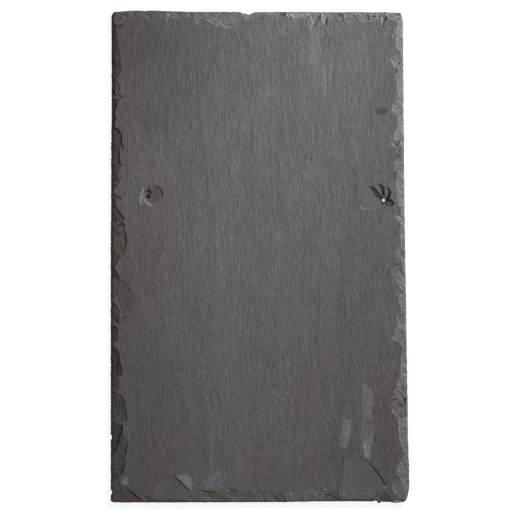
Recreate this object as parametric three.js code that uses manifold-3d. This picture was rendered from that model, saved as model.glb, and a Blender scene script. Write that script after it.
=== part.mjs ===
// A roofing slate, split and dressed by hand and holed for two nails.
//
// Millimetres, +Z up. The slate lies on its back, with its weather face up at z = THICKNESS.
// +Y points at the head, the end that the course above covers, and the origin is under the
// middle of the slate. The dressing knife has broken a row of shallow chips off the weather
// face along all four edges, and left a thin square edge, the land, below them.

import * as THREE from 'three';
import { mergeVertices } from 'three/addons/utils/BufferGeometryUtils.js';
import Module from 'manifold-3d';

const wasm = await Module();
wasm.setup();

// The blank: its left edge is square to the tail, and its right edge leans in towards the head.
const LENGTH = 500;
const TAIL_WIDTH = 304;
const HEAD_WIDTH = 297;
const THICKNESS = 7;

const HEAD_Y = LENGTH / 2;
const TAIL_Y = -LENGTH / 2;
const LEFT_X = -TAIL_WIDTH / 2;
const TAIL_RIGHT_X = LEFT_X + TAIL_WIDTH;
const HEAD_RIGHT_X = LEFT_X + HEAD_WIDTH;

// How far each corner is knocked off, along X and along Y.
const TAIL_LEFT_CORNER = [5, 2];
const TAIL_RIGHT_CORNER = [6, 12];
const HEAD_RIGHT_CORNER = [3, 9];
const HEAD_LEFT_CORNER = [5, 5];
const CORNER_SEGMENTS = 3;

// A bite out of the head's edge, right through the slate: where it starts, bottoms out and ends.
const HEAD_BITE = [[-6, 0], [-12, 3.6], [-15, 2], [-19.5, 0]];

// The nail holes: square, punched from the back with a tapered pick.
const HOLE_WIDTH_AT_FACE = 4.6;
const HOLE_WIDTH_AT_BACK = 5.4;
const LEFT_HOLE = [-113.5, 62];
const RIGHT_HOLE = [127.5, 57];

// The spalls that the pick threw off the weather face round each hole:
// where the middle is, half the length along X and along Y, and how deep.
const SPALLS = [
  { middle: [-111.5, 62.5], halfLength: 12.5, halfWidth: 10, depth: 1.8 },
  { middle: [117.5, 58.5], halfLength: 15, halfWidth: 11, depth: 1.6 },
  { middle: [127.5, 62], halfLength: 7.5, halfWidth: 11.5, depth: 2.4 },
];
const SPALL_SIDES = 20;
const SPALL_RINGS = 10;

// A chip is a shell-shaped scar cut by a stretched ball. The ball's middle stands outside the
// edge by this share of its half width, and this far above the weather face.
const CHIP_OVERHANG = 0.35;
const CHIP_LIFT = 0.4;
const CHIP_SIDES = 10;
const CHIP_RINGS = 6;

// A cutter stands proud of what it cuts by this much.
const CLEAR = 1;

// The chips along each edge: [middle along the edge, length, reach in from the edge, depth].
const LEFT_CHIPS = [
  [222.5, 18, 7, 4.2], [207.7, 15, 10, 4.6], [191.4, 26, 9.5, 4.4], [171, 21, 8, 4.6],
  [154.6, 18, 6, 4], [139.3, 18, 4.5, 3.8], [121, 25, 12, 4.8], [101.6, 20, 10, 4.8],
  [80.2, 29, 10, 4.2], [59.8, 19, 6, 4], [41.4, 24, 12, 4.4], [19, 38, 15.5, 4.6],
  [-4.5, 20, 7, 4], [-17.7, 18, 6, 4.4], [-58.5, 25, 8, 4.8], [-80, 26, 8.5, 4.4],
  [-107.5, 37, 10.5, 4.8], [-131, 22, 7.5, 4], [-155.4, 37, 16, 4.6], [-184, 33, 10, 4.8],
  [-205.4, 35, 15.5, 4.4], [-225.8, 20, 9, 4.2],
];
const RIGHT_CHIPS = [
  [226, 42, 7.5, 4.2], [202.6, 21, 13, 4.4], [187.3, 20, 8.5, 4.6], [170, 23, 5.5, 4],
  [152.6, 19, 12, 4.4], [139.3, 17, 6, 4], [121, 25, 12, 4.6], [105.7, 15, 8.5, 4.4],
  [93.4, 17, 10.5, 4.4], [77, 22, 8, 4.2], [60.8, 20, 7, 4.2], [41.4, 18, 6, 3.8],
  [25, 24, 4.5, 3.6], [3.7, 24, 10, 4.2], [-15.7, 21, 13, 4.6], [-33, 26, 8.5, 4.2],
  [-50.4, 17, 6.5, 4], [-71.8, 34, 14, 4.6], [-96.3, 21, 5.5, 3.8], [-115.7, 30, 6, 3.8],
  [-148.3, 39, 17, 4.6], [-176.9, 28, 9.5, 4.4], [-194.2, 17, 6, 4], [-211.5, 27, 12, 4.4],
  [-233, 27, 10, 4.2],
];
const HEAD_CHIPS = [
  [-126.4, 17, 5.5, 4], [-115, 12, 7.5, 4.2], [-103.4, 18, 6, 4], [-94.2, 8, 12, 4],
  [-85, 16, 7, 4.2], [-73.8, 14, 6, 4], [-63, 11, 13, 4], [-54.5, 15, 10, 4],
  [-11.6, 17, 9, 4.4], [0, 14, 6.5, 4], [13.4, 18, 4, 3.6], [25.6, 12, 6, 4.6],
  [38.4, 20, 7, 4], [50, 11, 16, 4], [57.7, 12, 11, 4.2], [65.4, 11, 14, 4],
  [77.6, 21, 9, 4.2], [87.8, 10, 10.5, 4], [94, 13, 7, 4.2], [104.6, 18, 10, 4.2],
  [118, 17, 10, 4.4], [127, 10, 11, 4.4], [135, 17, 10, 4],
];
const TAIL_CHIPS = [
  [-115.7, 15, 8, 4.4], [-98.8, 22, 20, 3.6], [-64.7, 15, 9, 4], [-46.3, 35, 12, 4.4],
  [-21.8, 19, 13, 4.4], [-8.6, 16, 10, 4.2], [0.6, 12, 13, 4], [12.9, 20, 10, 4.2],
  [25, 14, 9, 4], [36, 19, 11, 4.2], [55.7, 29, 14, 4.2], [75, 23, 12, 4.4],
  [131, 27, 11, 4.2],
];

// Flakes too flat and broad for a ball. Each one's outline starts at its innermost point, where
// its floor lies a step below the weather face. From there the floor falls towards the edge.
const FLAKES = [
  {
    name: 'left edge',
    outline: [[-129.5, -44], [-131, -35], [-137, -27], [-144, -19], [-154, -11],
      [-154, -67], [-141, -64], [-131.5, -53]],
    falls: [-1, 0],
    step: 0.5,
    slope: 0.12,
  },
  {
    name: 'tail, right of the middle',
    outline: [[95, -204], [108.5, -207.5], [113, -211.5], [121, -222], [129, -233],
      [137, -252], [88, -252], [83.5, -235], [85.5, -223], [87, -206.5]],
    falls: [0, -1],
    step: 0.9,
    slope: 0.055,
  },
  {
    name: 'tail, left of the middle',
    outline: [[-89.7, -222.5], [-81, -230], [-70, -239], [-66, -252], [-93, -252]],
    falls: [0, -1],
    step: 0.9,
    slope: 0.11,
  },
  {
    name: 'tail, left corner',
    outline: [[-144, -229.5], [-136, -234], [-129, -240], [-119, -252], [-154, -252],
      [-154, -227]],
    falls: [-0.6, -0.8],
    step: 0.9,
    slope: 0.13,
  },
  {
    name: 'head, left of the middle',
    outline: [[-34, 233], [-27, 232.5], [-20, 239], [-14, 252], [-53, 252], [-45, 243],
      [-38, 237]],
    falls: [0, 1],
    step: 0.5,
    slope: 0.14,
  },
  {
    name: 'head, left corner',
    outline: [[-143.5, 238], [-135, 245], [-132, 252], [-154, 252], [-154, 237]],
    falls: [-0.6, 0.8],
    step: 0.8,
    slope: 0.2,
  },
];

/** Where the right edge lies at a height y up the slate. */
function rightEdgeX(y) {
  return THREE.MathUtils.mapLinear(y, TAIL_Y, HEAD_Y, TAIL_RIGHT_X, HEAD_RIGHT_X);
}

// Each edge gives the point on it at a distance along it, and the direction in from it.
const EDGES = [
  { chips: LEFT_CHIPS, pointAt: (y) => [LEFT_X, y], inward: 0 },
  { chips: RIGHT_CHIPS, pointAt: (y) => [rightEdgeX(y), y], inward: Math.PI },
  { chips: HEAD_CHIPS, pointAt: (x) => [x, HEAD_Y], inward: -Math.PI / 2 },
  { chips: TAIL_CHIPS, pointAt: (x) => [x, TAIL_Y], inward: Math.PI / 2 },
];

/** A closed geometry as a solid that can be joined and cut. */
function toSolid(geometry) {
  geometry.deleteAttribute('normal');
  geometry.deleteAttribute('uv');
  const merged = mergeVertices(geometry);
  const mesh = new wasm.Mesh({
    numProp: 3,
    vertProperties: Float32Array.from(merged.attributes.position.array),
    triVerts: Uint32Array.from(merged.index.array),
  });
  return new wasm.Manifold(mesh);
}

/** A solid as a geometry that can be shown. */
function toGeometry(solid) {
  const mesh = solid.getMesh();
  const geometry = new THREE.BufferGeometry();
  geometry.setAttribute('position', new THREE.BufferAttribute(mesh.vertProperties, 3));
  geometry.setIndex(new THREE.BufferAttribute(mesh.triVerts, 1));
  geometry.computeVertexNormals();
  return geometry;
}

/** The outline, run anticlockwise from the tail's left corner, with each corner knocked off. */
function slateOutline() {
  const shape = new THREE.Shape();
  shape.moveTo(LEFT_X + TAIL_LEFT_CORNER[0], TAIL_Y);
  shape.lineTo(TAIL_RIGHT_X - TAIL_RIGHT_CORNER[0], TAIL_Y);
  shape.quadraticCurveTo(TAIL_RIGHT_X, TAIL_Y, TAIL_RIGHT_X, TAIL_Y + TAIL_RIGHT_CORNER[1]);
  shape.lineTo(HEAD_RIGHT_X, HEAD_Y - HEAD_RIGHT_CORNER[1]);
  shape.quadraticCurveTo(HEAD_RIGHT_X, HEAD_Y, HEAD_RIGHT_X - HEAD_RIGHT_CORNER[0], HEAD_Y);
  for (const [x, depth] of HEAD_BITE) {
    shape.lineTo(x, HEAD_Y - depth);
  }
  shape.lineTo(LEFT_X + HEAD_LEFT_CORNER[0], HEAD_Y);
  shape.quadraticCurveTo(LEFT_X, HEAD_Y, LEFT_X, HEAD_Y - HEAD_LEFT_CORNER[1]);
  shape.lineTo(LEFT_X, TAIL_Y + TAIL_LEFT_CORNER[1]);
  shape.quadraticCurveTo(LEFT_X, TAIL_Y, LEFT_X + TAIL_LEFT_CORNER[0], TAIL_Y);
  return shape;
}

/** The split slate before any of it is dressed or holed. */
function blank() {
  const settings = { depth: THICKNESS, bevelEnabled: false, curveSegments: CORNER_SEGMENTS };
  return toSolid(new THREE.ExtrudeGeometry(slateOutline(), settings));
}

/** The stretched ball that leaves one chip in an edge. */
function chipCutter(edge, [at, length, reach, depth]) {
  const halfWidth = reach / (1 - CHIP_OVERHANG);
  const halfHeight = (depth + CHIP_LIFT) / Math.sqrt(1 - CHIP_OVERHANG ** 2);
  const [x, y] = edge.pointAt(at);
  const outward = edge.inward + Math.PI;
  const geometry = new THREE.SphereGeometry(1, CHIP_SIDES, CHIP_RINGS);
  geometry.scale(halfWidth, length / 2, halfHeight);
  geometry.rotateZ(edge.inward);
  geometry.translate(
    x + CHIP_OVERHANG * halfWidth * Math.cos(outward),
    y + CHIP_OVERHANG * halfWidth * Math.sin(outward),
    THICKNESS + CHIP_LIFT,
  );
  return toSolid(geometry);
}

/** The block that leaves one broad flake: its floor slopes, and its top stands proud. */
function flakeCutter({ outline, falls, step, slope }) {
  const shape = new THREE.Shape(outline.map(([x, y]) => new THREE.Vector2(x, y)));
  const geometry = new THREE.ExtrudeGeometry(shape, { depth: CLEAR, bevelEnabled: false });
  const [innerX, innerY] = outline[0];
  const position = geometry.attributes.position;
  for (let i = 0; i < position.count; i += 1) {
    const run = (position.getX(i) - innerX) * falls[0] + (position.getY(i) - innerY) * falls[1];
    const drop = step + slope * run;
    const isFloor = position.getZ(i) === 0;
    position.setZ(i, isFloor ? THICKNESS - drop : THICKNESS + CLEAR);
  }
  return toSolid(geometry);
}

/** The tapered square punch that makes one nail hole. */
function holeCutter([x, y]) {
  const height = THICKNESS + 2 * CLEAR;
  const cornerAtFace = HOLE_WIDTH_AT_FACE / Math.SQRT2;
  const cornerAtBack = HOLE_WIDTH_AT_BACK / Math.SQRT2;
  const geometry = new THREE.CylinderGeometry(cornerAtFace, cornerAtBack, height, 4);
  geometry.rotateY(Math.PI / 4);
  geometry.rotateX(Math.PI / 2);
  geometry.translate(x, y, THICKNESS / 2);
  return toSolid(geometry);
}

/** The shallow bowl of one spall beside a nail hole. */
function spallCutter({ middle, halfLength, halfWidth, depth }) {
  const geometry = new THREE.SphereGeometry(1, SPALL_SIDES, SPALL_RINGS);
  geometry.rotateX(Math.PI / 2);
  geometry.scale(halfLength, halfWidth, depth);
  geometry.translate(middle[0], middle[1], THICKNESS);
  return toSolid(geometry);
}

/** The slate: the blank less everything that the dressing and the holing took off. */
function dressedSlate() {
  const cutters = [
    ...EDGES.flatMap((edge) => edge.chips.map((chip) => chipCutter(edge, chip))),
    ...FLAKES.map(flakeCutter),
    ...SPALLS.map(spallCutter),
    ...[LEFT_HOLE, RIGHT_HOLE].map(holeCutter),
  ];
  return cutters.reduce((solid, cutter) => solid.subtract(cutter), blank());
}

const slateMaterial = new THREE.MeshStandardMaterial({
  color: 0x686466,
  roughness: 0.82,
  metalness: 0,
});

const slate = new THREE.Mesh(toGeometry(dressedSlate()), slateMaterial);
slate.name = 'slate';

const group = new THREE.Group();
group.add(slate);

export default group;
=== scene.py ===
"""A roofing slate, riven, dressed by hand and holed for two nails, on a pale studio floor.

The slate lies on its back with its weather face up and its head towards +Y. Blender's own
lengths are metres; the slate's sizes are written in millimetres, as a slater gives them.
"""

import logging
import math
from dataclasses import dataclass, field
from enum import Enum

import bpy
import numpy as np
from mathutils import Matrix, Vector


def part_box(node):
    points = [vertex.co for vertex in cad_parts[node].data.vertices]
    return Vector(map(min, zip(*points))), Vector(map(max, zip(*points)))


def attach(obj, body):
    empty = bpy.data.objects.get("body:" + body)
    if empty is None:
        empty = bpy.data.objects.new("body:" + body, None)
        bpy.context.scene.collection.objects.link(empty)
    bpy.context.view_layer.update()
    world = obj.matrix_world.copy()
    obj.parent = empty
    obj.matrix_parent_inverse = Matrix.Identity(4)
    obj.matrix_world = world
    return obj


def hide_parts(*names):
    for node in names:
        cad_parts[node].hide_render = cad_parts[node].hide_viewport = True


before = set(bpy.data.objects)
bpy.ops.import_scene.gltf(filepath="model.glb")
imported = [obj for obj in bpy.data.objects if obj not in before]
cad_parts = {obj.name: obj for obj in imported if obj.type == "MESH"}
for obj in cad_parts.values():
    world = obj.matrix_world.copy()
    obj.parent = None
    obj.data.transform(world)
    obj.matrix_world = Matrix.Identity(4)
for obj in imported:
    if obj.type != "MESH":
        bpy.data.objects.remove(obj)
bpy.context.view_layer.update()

NODE = "slate"
BODY = "root"
MM = 0.001
LOG = logging.getLogger("slate")

Array = np.ndarray
Point = tuple[float, float]
Triple = tuple[float, float, float]
Tint = Triple
Crossing = tuple[int, int]
Window = tuple[slice, slice]

# How far a scar fades out past each of its ends, and the least drop that lays stone bare, both
# in millimetres.
END = 1.6
SHALLOWEST = 0.05


# ---- Sizes and named choices ----

class Edge(Enum):
    """The four dressed edges, each with the axis it runs along and the side it is on."""

    LEFT = ("y", -1)
    RIGHT = ("y", 1)
    HEAD = ("x", 1)
    TAIL = ("x", -1)

    @property
    def runs_up(self) -> bool:
        """Whether the edge runs along +Y."""
        return self.value[0] == "y"

    @property
    def side(self) -> int:
        """Which side of the slate's middle the edge is on."""
        return self.value[1]


class Stone(Enum):
    """The tints of freshly broken stone, against the colour of the riven face.

    Those of the right edge and the head are lighter partly as painted light, as those edges face
    the lamp, and the browns of the left edge are darker partly as painted shade, as it faces away.
    """

    PLAIN = (1.0, 1.0, 1.0)
    SMOOTH = (1.08, 1.065, 1.05)
    FRESH = (1.72, 1.75, 1.75)
    DULL = (1.50, 1.52, 1.49)
    PALE = (1.97, 2.03, 2.03)
    CHIP = (1.85, 1.90, 1.88)
    LILAC = (1.68, 1.72, 1.80)
    PURPLE = (1.44, 1.47, 1.45)
    GREY = (1.22, 1.22, 1.23)
    HEAD = (1.28, 1.26, 1.26)
    HEAD_PALE = (1.50, 1.49, 1.50)
    HEAD_BROWN = (1.14, 1.09, 1.07)
    HEAD_OLIVE = (1.12, 1.12, 1.00)
    OLIVE = (0.80, 0.80, 0.66)
    BROWN = (0.74, 0.71, 0.60)
    DEEP_BROWN = (0.62, 0.61, 0.50)
    LIGHT_BROWN = (0.90, 0.88, 0.79)
    LOW_BROWN = (0.74, 0.68, 0.66)
    DARK_BROWN = (0.48, 0.41, 0.35)
    FLAKE = (0.89, 0.86, 0.83)
    CORNER = (0.83, 0.77, 0.77)
    BLOCK = (0.84, 0.81, 0.81)
    TAIL = (1.17, 1.16, 1.17)
    PUNCHED = (0.93, 0.92, 0.92)


class Trace(Enum):
    """The kinds of line that a blow leaves: how deep each is cut, and its tint.

    The dark tints of cracks, seams and lifted leaves are painted shadow in them; the pale tints of
    bruises and chalk are crushed stone, with a painted highlight where they face the lamp.
    """

    CRACK = (1.1, (0.24, 0.20, 0.17))
    SEAM = (0.3, (0.68, 0.65, 0.62))
    BRUISE = (-0.14, (1.28, 1.31, 1.34))
    CHALK = (-0.2, (1.97, 2.11, 2.10))
    LEAF = (0.45, (0.44, 0.43, 0.43))


class Form(Enum):
    """How a scar's floor runs: a shell falls evenly to the edge, and a flake is one plane."""

    SHELL = "shell"
    FLAKE = "flake"


@dataclass(frozen=True)
class Sizes:
    """The slate's driving sizes in millimetres, taken from the solid."""

    left: float
    tail: float
    width: float
    length: float
    thickness: float
    head_width: float = 297.0

    @classmethod
    def of_solid(cls) -> "Sizes":
        """Reads the sizes off the solid's box.

        Returns:
            The sizes in millimetres.
        """
        low, high = (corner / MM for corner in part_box(NODE))
        return cls(low.x, low.y, high.x - low.x, high.y - low.y, high.z)

    def width_at(self, y: Array) -> Array:
        """The width at a height y up the slate."""
        return self.width - (self.width - self.head_width) * (y - self.tail) / self.length

    def halves(self, edge: Edge) -> Point:
        """Half the length of an edge, and half the slate's size across it."""
        halves = (self.length / 2.0, self.width / 2.0)
        return halves if edge.runs_up else halves[::-1]


# ---- Noise ----

def smooth(value: Array) -> Array:
    """A smooth rise from 0 to 1 as value goes from 0 to 1."""
    held = np.clip(value, 0.0, 1.0)
    return held * held * (3.0 - 2.0 * held)


def to_path(x: Array, y: Array, path: Array) -> tuple[Array, Array]:
    """How far points are from a path of straight pieces.

    Args:
        x: The points' x.
        y: The points' y.
        path: The path's points.

    Returns:
        Each point's distance from the path, and how far along it that is, from 0 to 1.
    """
    steps = np.hypot(*np.diff(path, axis=0).T)
    run = np.concatenate(([0.0], steps.cumsum())) / max(steps.sum(), 1e-6)
    nearest, share = np.full(x.shape, np.inf), np.zeros(x.shape)
    for (ax, ay), (bx, by), start, end in zip(path, path[1:], run, run[1:]):
        dx, dy = bx - ax, by - ay
        part = np.clip(((x - ax) * dx + (y - ay) * dy) / (dx * dx + dy * dy), 0.0, 1.0)
        distance = np.hypot(x - ax - part * dx, y - ay - part * dy)
        closer = distance < nearest
        nearest = np.where(closer, distance, nearest)
        share = np.where(closer, start + part * (end - start), share)
    return nearest, share


def trodden(numbers: tuple[float, ...]) -> Array:
    """Points written as the place of the first one, and then the step to each next one."""
    return np.cumsum(np.reshape(numbers, (-1, 2)), axis=0).round(3)


class Noise:
    """Smooth seeded noise in the plane, between about -1 and 1."""

    PERIOD = 128
    GAIN = 1.6

    def __init__(self, seed: int) -> None:
        """Draws the slopes that the noise has at whole numbers.

        Args:
            seed: Which noise it is.
        """
        turn = np.random.default_rng(seed).uniform(0.0, 2.0 * math.pi, (self.PERIOD, self.PERIOD))
        self.east = np.cos(turn)
        self.north = np.sin(turn)

    def at(self, x: Array, y: Array, across: float, along: float) -> Array:
        """The noise at points.

        Args:
            x, y: The points.
            across, along: The size of the noise's lumps along X and along Y.

        Returns:
            The noise at each point.
        """
        u, v = x / across, y / along
        column, row = np.floor(u).astype(int), np.floor(v).astype(int)
        p, q = u - column, v - row

        def corner(i: int, j: int) -> Array:
            """The ramp that one corner of each cell adds."""
            place = (column + i) % self.PERIOD, (row + j) % self.PERIOD
            return self.east[place] * (p - i) + self.north[place] * (q - j)

        s = p * p * p * (p * (6.0 * p - 15.0) + 10.0)
        t = q * q * q * (q * (6.0 * q - 15.0) + 10.0)
        low = corner(0, 0) * (1.0 - s) + corner(1, 0) * s
        high = corner(0, 1) * (1.0 - s) + corner(1, 1) * s
        return self.GAIN * (low * (1.0 - t) + high * t)


class Plates:
    """Small tilted plates that fill the plane, as the layers of broken slate show."""

    PERIOD = 96
    CRISPNESS = 11.0

    def __init__(self, seed: int) -> None:
        """Draws where the plates lie, and how each tilts and stands.

        Args:
            seed: Which plates they are.
        """
        draw = np.random.default_rng(seed)
        self.middle = draw.uniform(0.1, 0.9, (self.PERIOD, self.PERIOD, 2))
        self.slope = draw.normal(0.0, 1.0, (self.PERIOD, self.PERIOD, 3))

    def at(self, x: Array, y: Array, across: float, along: float) -> tuple[Array, Array]:
        """The plates at points.

        Args:
            x, y: The points.
            across, along: The plates' size along X and along Y.

        Returns:
            How high the plates stand at each point, and how pale they are, both about 0.
        """
        u, v = x / across, y / along
        column, row = np.floor(u).astype(int), np.floor(v).astype(int)
        height, shade, total = np.zeros_like(u), np.zeros_like(u), np.zeros_like(u)
        for i in (-1, 0, 1):
            for j in (-1, 0, 1):
                place = (column + i) % self.PERIOD, (row + j) % self.PERIOD
                east = u - column - i - self.middle[place][..., 0]
                north = v - row - j - self.middle[place][..., 1]
                weight = np.exp(-self.CRISPNESS * (east**2 + north**2))
                tilt = self.slope[place]
                height += weight * (tilt[..., 0] * east + tilt[..., 1] * north + 0.4 * tilt[..., 2])
                shade += weight * tilt[..., 2]
                total += weight
        return height / total, shade / total


# ---- What was broken off the weather face ----

@dataclass(frozen=True)
class Scar:
    """One chip or flake struck off an edge.

    Its inner boundary is a list of knots, each a place along the edge and the reach in from it.
    """

    step: float
    knots: tuple[Point, ...]
    stone: Stone | None = None
    form: Form = Form.SHELL
    depth: float | None = None
    fall: float = 0.0
    wall: float = 1.6

    @property
    def extent(self) -> Triple:
        """Where the scar starts and ends along its edge, and how far it reaches in."""
        along, reach = zip(*self.knots)
        return min(along), max(along), max(reach)

    def drop(self, along: Array, inward: Array, edge_depth: float) -> Array:
        """How far the scar lies below the weather face.

        Args:
            along: The points' places along the edge.
            inward: The points' distances in from the edge.
            edge_depth: How deep the edge's scars are where none is given.

        Returns:
            The drop at each point, in millimetres, and 0 outside the scar.
        """
        start, end, deepest_reach = self.extent
        ordered = np.array(sorted(self.knots))
        ends = np.array([ordered[0] - (END, 0.0), ordered[-1] + (END, 0.0)])
        line = np.concatenate([ends[:1], ordered, ends[1:]])
        reach = np.interp(along, line[:, 0], line[:, 1])
        inside = to_path(along, inward, line)[0] * np.sign(reach - inward)
        if self.form is Form.FLAKE:
            floor = np.maximum(self.step + self.fall * (deepest_reach - inward), SHALLOWEST)
        else:
            share = np.clip(inside / np.maximum(reach, 1.0), 0.0, 1.0)
            floor = self.step + ((self.depth or edge_depth) - self.step) * share
        beyond = np.maximum(start - along, along - end)
        return smooth(inside / self.wall) * floor * smooth(1.0 - beyond / END)


def scar(step: float, *knots: float, **settings: object) -> Scar:
    """A scar, each of whose knots is written as the step to it along the edge, and its reach."""
    along, reach = np.reshape(knots, (-1, 2)).T
    return Scar(step, tuple(zip(along.cumsum().round(3), reach)), **settings)


def chips(stone: Stone | None, *rows: tuple[float, ...]) -> list[Scar]:
    """Plain scars of one stone, each written as its own step down and its knots."""
    return [scar(*row, stone=stone) for row in rows]


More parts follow.
